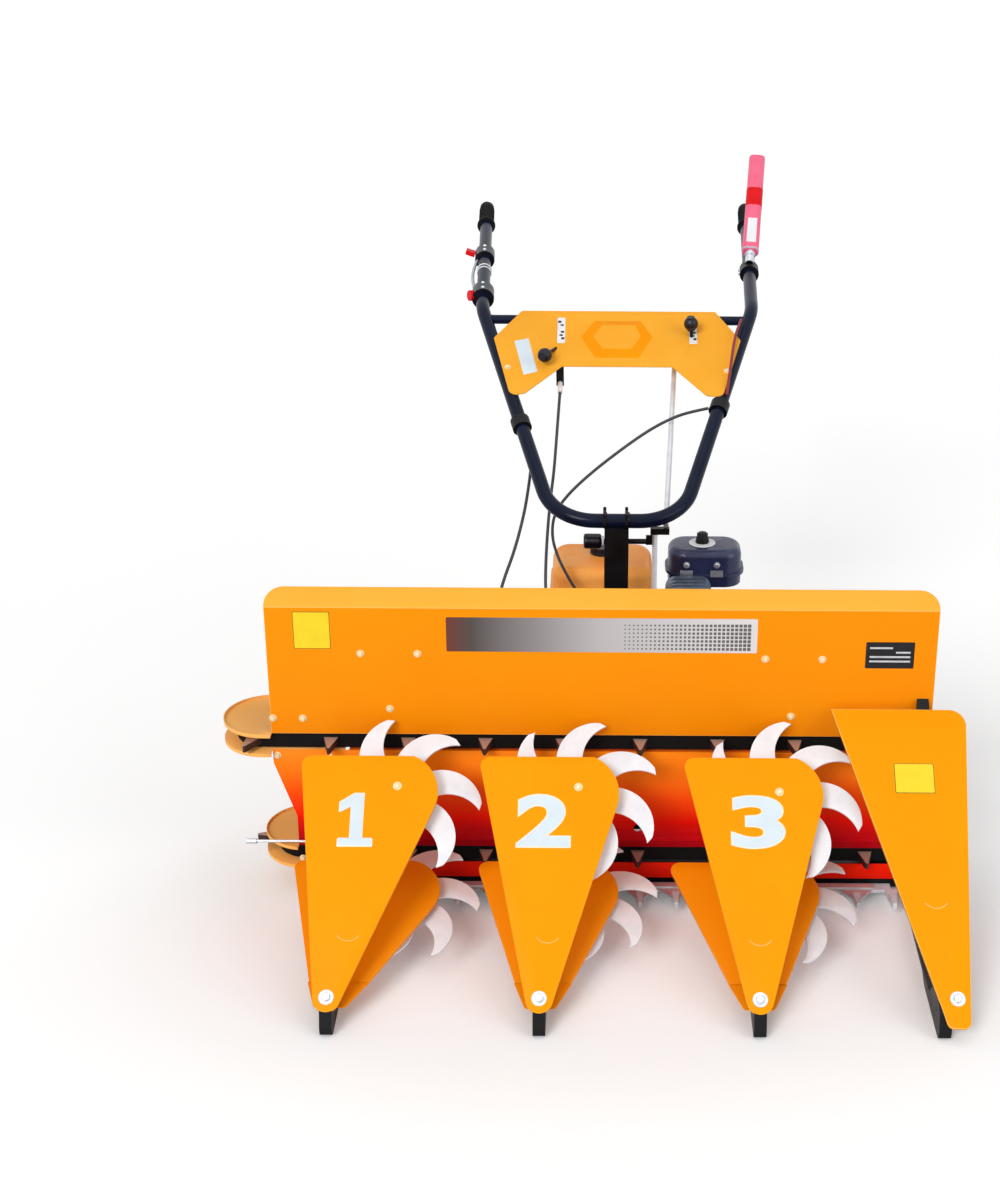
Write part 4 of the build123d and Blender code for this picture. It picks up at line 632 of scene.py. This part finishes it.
# a blank yellow label on a thin dark border
def yellowLabel(name, borderName, box, where):
    left, right, low, high = box
    border = 1
    onePiece(name, where, "yellowFilm", addPlate, (left, right), (low, high), (0.05, 0.45), 2)
    onePiece(borderName, where, "anodisedPlate", addPlate,
             (left - border, right + border), (low - border, high + border), (0.03, 0.2), 2)


# the bolt at a divider's tip, on a wide washer
def addTipBolt(bm, where):
    addBolt(bm, where @ Matrix.Translation((0, 0, 0.1)), 9)
    addCone(bm, where, 15, 14.4, 1.4, segments=28)


# header: softened sheets, bolts, blank badge and labels; x and z on the wall's front
headerFront = Matrix.Translation((0, 480, 0)) @ Matrix.Rotation(math.radians(90), 4, "X")
header = {
    "edge": 1.1,
    "skirtEdge": 0.8,
    "guardEdge": 0.6,
    "flangeAbove": 630,
    "boltRadius": 6.0,
    "boltHeight": 5.0,
    "bolts": ((-704, 419), (-643, 419), (-519, 566), (-404, 566), (-464, 442), (298, 559), (413, 559),
              (355, 430), (-700, 333), (-660, 88)),
    "badge": (*badgeEnds, 572, 647),
    "squares": {"left": 10, "right": 270, "low": 576, "high": 643, "pitch": 8.6},
    "yellowLabel": (-651, -579, 577, 656),
    "dataPlate": (500, 598, 540, 598),
    # start and end of each bar on the data plate, from the top row down, in shares of its width
    "dataBars": ((0.08, 0.55), (0.62, 0.92), (0.08, 0.92), (0.08, 0.92)),
    "tray": ((-552, 640), (482.6, 522), (342.6, 345.2)),
    # bolts that hold the frame, seen from behind: x, y, z
    "frameBolts": [(x, 600.3, z) for x in (-560, -330, -90, 90, 300, 600) for z in (402, 52)],
}
# painted highlight on the rounded edges and painted light on the flange's top
softened("header_back_panel", header["edge"], ["powderCoatOrange", "powderCoatEdge", "powderCoatFlange"],
         flangeAbove=header["flangeAbove"])
softened("header_mid_panel", header["edge"], ["shadedMidPanel"])
softened("header_skirt", header["skirtEdge"], ["shadedSkirt"])
for guard in ("upper_discharge_guard", "lower_discharge_guard"):
    softened(guard, header["guardEdge"], ["powderCoatNose", "powderCoatOrange"])

likeShapes("header_bolts", headerFront, "creamZinc", addDomeBolt, [
    (Matrix.Translation((x, z, 0)), header["boltRadius"], header["boltHeight"]) for x, z in header["bolts"]])
# the middle sheet is folded back under the upper belt, in the same painted shade
onePiece("belt_tray", flat, "powderCoatDeep", addPlate, *header["tray"])
likeShapes("frame_bolts", flat, "zincPlate", addBolt,
           [(turnedTo(spot, (0, 1, 0)), 8) for spot in header["frameBolts"]])

# badge: the squares grow towards its right end
left, right, low, high = header["badge"]
onePiece("header_badge", headerFront, "badgeFilm", addPlate, (left, right), (low, high), (0.05, 0.6), 3)
squares = header["squares"]
pitch = squares["pitch"]
columns = int((squares["right"] - squares["left"]) / pitch)
rows = int((squares["high"] - squares["low"]) / pitch)
bm = bmesh.new()
for column in range(columns):
    half = pitch * (0.16 + 0.24 * column / columns)
    for row in range(rows):
        x = squares["left"] + (column + 0.5) * pitch
        z = squares["low"] + (row + 0.5) * pitch
        addPlate(bm, (x - half, x + half), (z - half, z + half), (0.6, 0.75))
finishPiece("badge_squares", bm, headerFront, ["badgeSquare"])

yellowLabel("header_yellow_label", "header_label_border", header["yellowLabel"], headerFront)
left, right, low, high = header["dataPlate"]
onePiece("header_data_plate", headerFront, "anodisedPlate", addPlate,
         (left, right), (low, high), (0.05, 0.7), 2)
bm = bmesh.new()
for row, (start, end) in enumerate(header["dataBars"]):
    z = low + (high - low) * (0.78 - 0.17 * row)
    width = right - left
    addPlate(bm, (left + width * start, left + width * end), (z - 2, z + 2), (0.7, 0.85))
finishPiece("data_plate_bars", bm, headerFront, ["zincPlate"])
print("header finished")

# dividers: softened covers, plain numerals, pressed crescents, bolts
dividers = {
    "edge": 1.0,
    # name, tip x, numeral, left edge of its place, axle bolt, middle of the crescent, and how far
    # the lower cover's star side and plain side reach
    "rows": (
        ("a", -550.0, "1", -17.0, (113, 428), (34, 139), (110.0, 106.0)),
        ("b", -147.0, "2", -50.0, (70, 428), (14, 137), (67.0, 133.0)),
        ("c", 272.0, "3", -46.0, (50.5, 420), (4, 134), (54.0, 160.0)),
    ),
    "upper": (70.0, 40.5),     # tip height, lean
    "lower": (40.0, 16.7),
    "tipBoltUp": 2,
    "crescentRadius": 27.0,
    "crescent": {"thick": 0.9, "from": 218, "turn": 104, "steps": 12},
    # the lower covers' ends beside the arm: heights up the slope, the round tip, then each
    # side's end height and radius
    "toe": {"low": 10.0, "high": 71.0, "tipRadius": 26.0, "plain": (364.0, 20.0), "star": (305.0, 84.0),
            "inset": (2, 2.5), "corner": 8, "thick": 2.0},
}
numerals = {
    "width": 104.0,
    "low": 303.0,
    "high": 411.0,
    "narrow": 0.66,            # the one's share of that width
    # piece; bottom, top, margin round the figure and growth of its stroke; finish
    "layers": (("numeral_edge_", (0.05, 0.35, 2.2, 0.042), "creamFilm"),
               ("numeral_", (0.35, 0.6, 0.0, 0.03), "paleBlueFilm")),
    # the numeral one: foot, stem and flag, in shares of its width and height
    "one": ((0.02, 0.0), (0.98, 0.0), (0.98, 0.15), (0.70, 0.15), (0.70, 1.0), (0.42, 1.0), (0.02, 0.83),
            (0.02, 0.64), (0.34, 0.75), (0.34, 0.15), (0.02, 0.15)),
}
# painted highlight on the covers' rounded edges
softened("divider_upper_covers", dividers["edge"], ["powderCoatCover", "powderCoatEdge"])
softened("divider_lower_covers", dividers["edge"], ["powderCoatOrange", "powderCoatEdge"])


# the numeral one from its outline, because the built-in letter is a bare stroke
def outlinedOne(left, width, low, high, layer):
    bottom, top, margin = layer[:3]
    across, up = width + 2 * margin, high - low + 2 * margin
    bm = bmesh.new()
    addSheet(bm, [(left - margin + i * across, low - margin + j * up) for i, j in numerals["one"]],
             (), bottom, top, 0.05)
    return bm


# any other numeral from the built-in letters, stretched to fill its box
def drawnNumeral(sign, left, width, low, high, layer):
    bottom, top, margin, stroke = layer
    curve = bpy.data.curves.new("numeral", "FONT")
    curve.body = sign
    curve.offset = stroke
    curve.extrude = 0.01
    curve.resolution_u = 6
    drawn = bpy.data.objects.new("numeral", curve)
    bpy.context.scene.collection.objects.link(drawn)
    bpy.context.view_layer.update()
    mesh = bpy.data.meshes.new_from_object(drawn.evaluated_get(bpy.context.evaluated_depsgraph_get()))
    bpy.data.objects.remove(drawn)
    bm = bmesh.new()
    bm.from_mesh(mesh)
    bpy.data.meshes.remove(mesh)
    bmesh.ops.remove_doubles(bm, verts=bm.verts, dist=1e-5)
    lows = [min(v.co[k] for v in bm.verts) for k in range(3)]
    highs = [max(v.co[k] for v in bm.verts) for k in range(3)]
    wanted = (width + 2 * margin, high - low + 2 * margin, top - bottom)
    scale = [wanted[k] / (highs[k] - lows[k]) for k in range(3)]
    fit = Matrix.Translation((left - margin, low - margin, bottom)) @ Matrix.Diagonal((*scale, 1))
    bmesh.ops.transform(bm, matrix=fit @ Matrix.Translation([-v for v in lows]), verts=bm.verts)
    return bm


# a shallow crescent pressed low into a cover, drawn as one thin rod in the pale painted highlight
def pressedCrescent(name, where):
    shape, radius = dividers["crescent"], dividers["crescentRadius"]
    steps = shape["steps"]
    arc = [math.radians(shape["from"] + shape["turn"] * k / steps) for k in range(steps + 1)]
    line = [(radius * math.cos(turn), radius * math.sin(turn), 0) for turn in arc]
    onePiece(name, where, "powderCoatEdge", addRod, line, shape["thick"], 8)


# how far an edge of a lower cover stands from its middle at a height t: the edge runs from
# the round tip to a round end of its own; side is 1 towards the star and -1 away from it
def coverEdge(side, tipRadius, end, endRadius, t):
    along = Vector(end)
    reach = along.length
    along.normalize()
    across = side * Vector((along.y, -along.x))
    lean = math.asin((endRadius - tipRadius) / reach)
    normal = across * math.cos(lean) - along * math.sin(lean)
    start = normal * tipRadius
    run = Vector((-normal.y, normal.x))
    return (start + run * (t - start.y) / run.y).x


# the lower cover runs on to the tip beside the arm
def coverToe(name, tipX, starX, plainX):
    toe = dividers["toe"]
    low, high = toe["low"], toe["high"]
    plainUp, plainRadius = toe["plain"]
    starUp, starRadius = toe["star"]
    plainEnd, starEnd = (plainRadius - plainX, plainUp), (starX, starUp)
    plain = [coverEdge(-1, toe["tipRadius"], plainEnd, plainRadius, t) for t in (low, high)]
    star = [coverEdge(1, toe["tipRadius"], starEnd, starRadius, t) for t in (low, high)]
    under, over = toe["inset"]
    outline = ((plain[0] + under, low, toe["corner"]), (star[0] - under, low, toe["corner"]),
               (star[1] + over, high, 0), (plain[1] - over, high, 0))
    onePiece("lower_cover_toe_" + name, leaning(tipX, *dividers["lower"]), "powderCoatOrange", addSheet,
             roundedOutline(outline), (), -toe["thick"], 0.0, 0.4)


tipBolts = bmesh.new()
axleBolts = bmesh.new()
for name, tipX, sign, left, axle, crescent, reaches in dividers["rows"]:
    slope = leaning(tipX, *dividers["upper"])
    width = numerals["width"] * (numerals["narrow"] if sign == "1" else 1.0)
    box = (left + (numerals["width"] - width) / 2, width, numerals["low"], numerals["high"])
    for piece, layer, finish in numerals["layers"]:
        bm = outlinedOne(*box, layer) if sign == "1" else drawnNumeral(sign, *box, layer)
        finishPiece(piece + name, bm, slope, [finish])
    addTipBolt(tipBolts, slope @ Matrix.Translation((0, dividers["tipBoltUp"], 0)))
    addDomeBolt(axleBolts, slope @ Matrix.Translation((*axle, 0.1)), 6.5, 3.5)
    pressedCrescent("cover_emboss_" + name, slope @ Matrix.Translation((*crescent, 0)))
    coverToe(name, tipX, *reaches)
finishPiece("divider_tip_bolts", tipBolts, flat, ["zincPlate"])
finishPiece("star_axle_bolts", axleBolts, flat, ["creamZinc"])

sideDivider = {"tip": (646.0, 72.0), "lean": 40.0, "edge": 1.0, "label": (-91, -14, 420, 481),
               "bolt": (0, 4, 0), "crescent": (-27, 209, 0)}
# painted highlight on the plate's rounded edges
softened("side_divider_plate", sideDivider["edge"], ["powderCoatSide", "powderCoatEdge"])
slope = leaning(*sideDivider["tip"], sideDivider["lean"])
yellowLabel("side_yellow_label", "side_label_border", sideDivider["label"], slope)
onePiece("side_tip_bolt", slope, "zincPlate", addTipBolt, Matrix.Translation(sideDivider["bolt"]))
pressedCrescent("side_emboss", slope @ Matrix.Translation(sideDivider["crescent"]))
print("dividers finished")

# star wheels, tyres and rims: edges rounded over, beads on the tyres, nuts and a valve on the hubs
wheel = {
    "centre": (290.0, 980.0, 205.0),
    "starEdge": 1.0,
    "tyreEdge": 2.0,
    "rimEdge": 0.8,
    "beads": ((126, 38.9), (158, 46.6)),     # radius, distance from the tyre's middle
    "beadThick": 1.6,
    "nuts": 5,
    "nutCircle": 22,
    "nutFace": 34,
    "valveFace": 38,
    "valve": ((104, 0, -6), (101, 0, 2), (96, 0, 12)),
    "valveRadius": 2.6,
}
for name in starNodes:
    softened(name, wheel["starEdge"], ["mouldedWhiteNylon"], body=name)
for side in ("left", "right"):
    softened("tyre_" + side, wheel["tyreEdge"], ["tyreRubber"], body="wheel_" + side, segments=1)
    softened("wheel_rim_" + side, wheel["rimEdge"], ["rimEnamel"], body="wheel_" + side, segments=1)
for side, sign in (("left", -1), ("right", 1)):
    x, y, z = wheel["centre"]
    rings = bmesh.new()
    nuts = bmesh.new()
    for way in (-1, 1):
        for radius, face in wheel["beads"]:
            bead = turnedTo((sign * x + way * face, y, z), (way, 0, 0))
            addRing(rings, bead, radius, wheel["beadThick"], 48)
    finishPiece("tyre_rings_" + side, rings, flat, ["tyreRubber"], "wheel_" + side)
    hub = turnedTo((sign * (x + wheel["nutFace"]), y, z), (sign, 0, 0))
    for k in range(wheel["nuts"]):
        turn = math.tau * k / wheel["nuts"]
        spot = (wheel["nutCircle"] * math.cos(turn), wheel["nutCircle"] * math.sin(turn), 0)
        addBolt(nuts, hub @ Matrix.Translation(spot), 6)
    outside = turnedTo((sign * (x + wheel["valveFace"]), y, z), (sign, 0, 0))
    addRod(nuts, [outside @ Vector(point) for point in wheel["valve"]], wheel["valveRadius"], 14)
    finishPiece("hub_nuts_" + side, nuts, flat, ["zincPlate"], "wheel_" + side)
print("wheels finished")

# dash: sheet with two gated slots, raised hexagon, blank label, screws; all up the handle's slope
legs = leaning(0, 693, 26.49, y=900)
dash = {
    "outline": ((-228, 663, 0), (235, 663, 0), (292, 563, 6), (243, 372, 20), (206, 375, 14), (129, 471, 8),
                (-129, 471, 8), (-213, 380, 14), (-247, 372, 20), (-292, 567, 6)),
    "heights": (16.0, 18.5),
    "slots": ((-133, 596), (180, 596)),
    "slotHalf": (10, 46),
    "slotCorner": 3,
    # half width, half length and heights of the white plates under the slots
    "gates": ((14, 50, (14, 16)), (9.6, 45.6, (16.0, 16.3))),
    # marks on them: place along the slot, length, shift across
    "marks": ((34, 7, -4), (21, 5, 2), (-2, 6, 3), (-14, 5, 0), (-24, 7, 4)),
    "markHalf": 3.6,
    "markHeights": (16.3, 16.9),
    "hexagonOuter": ((-86, 571), (-54, 628), (56, 628), (84, 571), (50, 500), (-52, 500)),
    "hexagonInner": ((-58, 568), (-36, 610), (44, 610), (57, 568), (33, 526), (-35, 526)),
    "hexagonMiddle": (0, 568),
    "hexagonRise": 4.6,
    "label": ((-243, 556), (-210, 566), (-186, 452), (-218, 441)),
    "screws": ((-256, 466), (256, 458)),
    # the bracket that holds the header cable's end: plates and the ferrule through it
    "stop": (((-143, -125), (472, 475), (-46, 17)), ((-143, -125), (472, 488), (14, 16))),
    "ferrule": ((-134, 440, -37), (-134, 480, -37)),
    "ferruleRadius": 6.0,
}
low, high = dash["heights"]
holes = [roundedBox(slot, dash["slotHalf"], dash["slotCorner"], 3) for slot in dash["slots"]]
onePiece("dash_sheet", legs, "powderCoatDash", addSheet,
         roundedOutline(dash["outline"]), holes, low, high, 0.6, instead=("control_panel",))
likeShapes("cable_stop", legs, "satinBlackEnamel", addPlate, dash["stop"])
onePiece("cable_ferrule", legs, "mouldedWhiteNylon", addRod, dash["ferrule"], dash["ferruleRadius"], 20)
rise = high + dash["hexagonRise"]
onePiece("dash_hexagon", legs, "hexagonEnamel", addRaised,
         dash["hexagonOuter"], dash["hexagonInner"], high, rise, sharp=10)
face = shrunk(dash["hexagonInner"], dash["hexagonMiddle"], 0.94)
onePiece("dash_hexagon_face", legs, "powderCoatDash", addRaised,
         dash["hexagonInner"], face, rise - 0.2, rise + 0.4, sharp=10)
gates = bmesh.new()
marks = bmesh.new()
for x, t in dash["slots"]:
    for halfWidth, halfLength, heights in dash["gates"]:
        addPlate(gates, (x - halfWidth, x + halfWidth), (t - halfLength, t + halfLength), heights)
    for along, length, shift in dash["marks"]:
        addPlate(marks, (x + shift - dash["markHalf"], x + shift + dash["markHalf"]),
                 (t + along - length, t + along), dash["markHeights"])
finishPiece("slot_gates", gates, legs, ["mouldedWhiteNylon"])
finishPiece("slot_marks", marks, legs, ["satinBlackEnamel"])
middle = (sum(x for x, t in dash["label"]) / 4, sum(t for x, t in dash["label"]) / 4)
onePiece("dash_label", legs, "paleBlueFilm", addRaised,
         dash["label"], shrunk(dash["label"], middle, 0.96), high, high + 0.5)
likeShapes("dash_screws", flat, "creamZinc", addDomeBolt,
           [(legs @ Matrix.Translation((*spot, high)), 5.5, 4.0) for spot in dash["screws"]])
print("dash finished")

# handles: grip ribs, ties, housing screws, the switch's lead, U-bolt nuts, lever sleeve;
# y is how far back along the upper handle
handle = {
    "bend": (325.0, 1516.0, 1000.0),
    "end": (352.0, 2225.0, 1090.0),
    "tubeRadius": 16.0,
    "gripRadius": 19.0,
    "ribs": range(2098, 2212, 9),
    "ties": (1752, 1770),
    # y and distance from the tube's middle, then the way that they face
    "topScrews": ((1852, 24.2), (1878, 24.2), (1590, 26.2), (1620, 26.2)),
    "topWay": (0, -0.12, 0.99),
    "sideScrews": (1760, 1782),
    "sideFace": -23.6,
    "lead": (1842, 1628),
    "leadAside": 19.5,
    "leadBow": 9,
    "leadRadius": 4.0,
    "clampBolts": [(x, y, 701) for x in (-26.5, 23.5) for y in (880, 920)],
    "gearKnob": (-33.4, 932.8, 632),
}


# a point on the straight upper handle at a distance back, and the way the tube runs
def onHandle(side, y):
    share = (y - handle["bend"][1]) / (handle["end"][1] - handle["bend"][1])
    low, high = [Vector((side * point[0], point[1], point[2])) for point in (handle["bend"], handle["end"])]
    return low.lerp(high, share), (high - low).normalized()


likeShapes("grip_ribs", flat, "gripRubber", addRing, [
    (turnedTo(*onHandle(side, y)), handle["gripRadius"], 1.5, 28)
    for side in (-1, 1) for y in handle["ribs"]])
likeShapes("cable_ties", flat, "mouldedWhiteNylon", addRing,
           [(turnedTo(*onHandle(-1, y)), handle["tubeRadius"] + 1.2, 1.8, 32) for y in handle["ties"]])
bm = bmesh.new()
for y, out in handle["topScrews"]:
    point = onHandle(-1, y)[0] + Vector(handle["topWay"]) * out
    addDomeBolt(bm, turnedTo(point, handle["topWay"]), 3.6, 2.4)
for y in handle["sideScrews"]:
    addBolt(bm, turnedTo(onHandle(1, y)[0] + Vector((handle["sideFace"], 0, 0)), (-1, 0, 0)), 5)
finishPiece("handle_screws", bm, flat, ["zincPlate"])
start, end = [onHandle(-1, y)[0] for y in handle["lead"]]
bows = [handle["leadAside"] + handle["leadBow"] * math.sin(math.pi * k / 12) for k in range(13)]
path = [start.lerp(end, k / 12) + Vector((-bow, 0, -2)) for k, bow in enumerate(bows)]
onePiece("switch_lead", flat, "paleSheath", addRod, path, handle["leadRadius"], 12)

lever = {
    "low": (334.71, 1771.0, 1054.37),
    "run": (0.0912, 0.8502, 0.5185),
    "half": (21.0, 15.0),
    "corner": 12.0,
    "sleeveEdge": 3.0,
    "sleeveStart": 40,
    # piece, growth over the sleeve, from and to along it, finish
    "bands": (("sleeve_band", 0.5, 158, 222, "redPlastic"), ("sleeve_rim", 0.6, 0.5, 6, "lilacRim")),
    "tag": ((-12, 12), (-15.7, -14.9), (22, 108)),
    # radius, from and to along the lever
    "end": ((11.5, -40, 1), (13.5, -16, -8)),
}
run = Vector(lever["run"]).normalized()
across = (Vector((1, 0, 0)) - run * run.x).normalized()
sleeveFrame = Matrix((across, run.cross(across), run)).transposed().to_4x4()
sleeveFrame.translation = Vector(lever["low"]) + run * lever["sleeveStart"]
softened("clutch_sleeve", lever["sleeveEdge"], ["pinkSleeve"], segments=3)
for name, grow, start, end, finish in lever["bands"]:
    section = roundedBox((0, 0), [half + grow for half in lever["half"]], lever["corner"] + grow, 6)
    onePiece(name, sleeveFrame, finish, addRaised, section, section, start, end, sharp=40)
onePiece("sleeve_tag", sleeveFrame, "whiteFilm", addPlate, *lever["tag"])
likeShapes("lever_end", sleeveFrame, "zincPlate", addRod,
           [([(0, 0, start), (0, 0, end)], radius, 24) for radius, start, end in lever["end"]], sharp=30)
likeShapes("handle_bolt_nuts", flat, "satinBlackEnamel", addBolt,
           [(Matrix.Translation(spot), 5) for spot in handle["clampBolts"]])
# a white collar at the gear knob's end, drawn as a painted highlight
onePiece("gear_knob_collar", flat, "mouldedWhiteNylon", addTurned,
         turnedTo(handle["gearKnob"], (1, 0, 0)), 12, 4.5, 1.0)
print("handles finished")

# engine: softened tank, air cleaner and gearbox, their fastenings, cap, starter and silencer guard
engine = {
    "softened": (("fuel_tank", 4.0, "tankEnamel", 3), ("air_filter", 2.0, "navyMoulding", 3),
                 ("gearbox", 1.5, "paintedCasting", 2)),
    "filterNut": (207.0, 1256.0, 500.2),
    "filterRing": ((13, 0), (31, 0), (32, 0.8), (30, 2.2), (14, 2.2), (13, 1.4)),
    # foot, radius, height, softened rim and taper of the nut's two steps
    "nutSteps": ((1, 16.5, 12, 2.0, 0.92), (12, 15.2, 15.4, 3.0, 0.72)),
    "clips": ((168, 1189.0, 470), (240, 1189.0, 470)),
    "clipPlate": {"half": 15, "y": (1188.2, 1190), "z": (440, 456)},
    "tankCap": (-32, 1161, 512),
    "capBand": ((27.2, 1), (29, 1.6), (29, 6), (27.2, 7)),
    "capRibs": {"count": 16, "circle": 27, "from": 7, "to": 16, "radius": 1.4},
    "recoil": (0, 1312, 318),
    "recoilRings": (30, 46, 62, 76),
    "recoilScrews": {"count": 5, "circle": 68, "turned": 0.3},
    "rope": ((-60, 1300, 372), (-78, 1304, 392), (-84, 1306, 398)),
    "ropeHandle": ((-104, 1306, 390), (-64, 1306, 412)),
    "boltSides": (-80, 80),
    "backBolts": (1232, (232, 334)),         # y, then heights
    "footBolts": (219, (1078, 1216)),        # height, then y
    "guard": {"x": (126, 218), "y": (1078.6, 1080.4), "bars": (380, 394, 408, 422, 436), "half": 2.2},
}
for name, edge, finish, segments in engine["softened"]:
    softened(name, edge, [finish], segments=segments)
nut = Matrix.Translation(engine["filterNut"])
onePiece("filter_ring", flat, "mouldedWhiteNylon", addSpun, nut, engine["filterRing"])
likeShapes("filter_wing_nut", flat, "satinBlackEnamel", addTurned,
           [(nut @ Matrix.Translation((0, 0, foot)), *step) for foot, *step in engine["nutSteps"]])
bm = bmesh.new()
clip = engine["clipPlate"]
for spot in engine["clips"]:
    addDomeBolt(bm, turnedTo(spot, (0, -1, 0)), 6.0, 2.5)
    addPlate(bm, (spot[0] - clip["half"], spot[0] + clip["half"]), clip["y"], clip["z"])
finishPiece("filter_clips", bm, flat, ["zincPlate"])

x, y, z = engine["tankCap"]
ribs = engine["capRibs"]
bm = bmesh.new()
addSpun(bm, Matrix.Translation((x, y, z)), engine["capBand"], 36)
for k in range(ribs["count"]):
    turn = math.tau * k / ribs["count"]
    foot = Vector((x + ribs["circle"] * math.cos(turn), y + ribs["circle"] * math.sin(turn), z))
    addRod(bm, [foot + Vector((0, 0, up)) for up in (ribs["from"], ribs["to"])], ribs["radius"], 6)
finishPiece("fuel_cap_ribs", bm, flat, ["mouldedDarkPlastic"])

x, y, z = engine["recoil"]
screws = engine["recoilScrews"]
bm = bmesh.new()
for radius in engine["recoilRings"]:
    addRing(bm, turnedTo((x, y, z), (0, 1, 0)), radius, 1.6, 48)
for k in range(screws["count"]):
    turn = math.tau * (k + screws["turned"]) / screws["count"]
    spot = (x + screws["circle"] * math.cos(turn), y, z + screws["circle"] * math.sin(turn))
    addDomeBolt(bm, turnedTo(spot, (0, 1, 0)), 5, 3)
finishPiece("recoil_ribs", bm, flat, ["mouldedDarkPlastic"])
bm = bmesh.new()
addTurned(bm, turnedTo((x, y, z), (0, 1, 0)), 17, 5, 1.5)
addRod(bm, engine["rope"], 2.2, 10)
addRod(bm, engine["ropeHandle"], 8.0, 16)
finishPiece("recoil_handle", bm, flat, ["gripRubber"])

backY, backHeights = engine["backBolts"]
footHeight, footYs = engine["footBolts"]
bm = bmesh.new()
for x in engine["boltSides"]:
    for z in backHeights:
        addBolt(bm, turnedTo((x, backY, z), (0, 1, 0)), 6)
    for y in footYs:
        addBolt(bm, turnedTo((x, y, footHeight), (0, 0, 1)), 8)
finishPiece("crankcase_bolts", bm, flat, ["zincPlate"])
guard = engine["guard"]
likeShapes("muffler_guard", flat, "zincPlate", addPlate,
           [(guard["x"], guard["y"], (z - guard["half"], z + guard["half"])) for z in guard["bars"]])
print("engine finished")
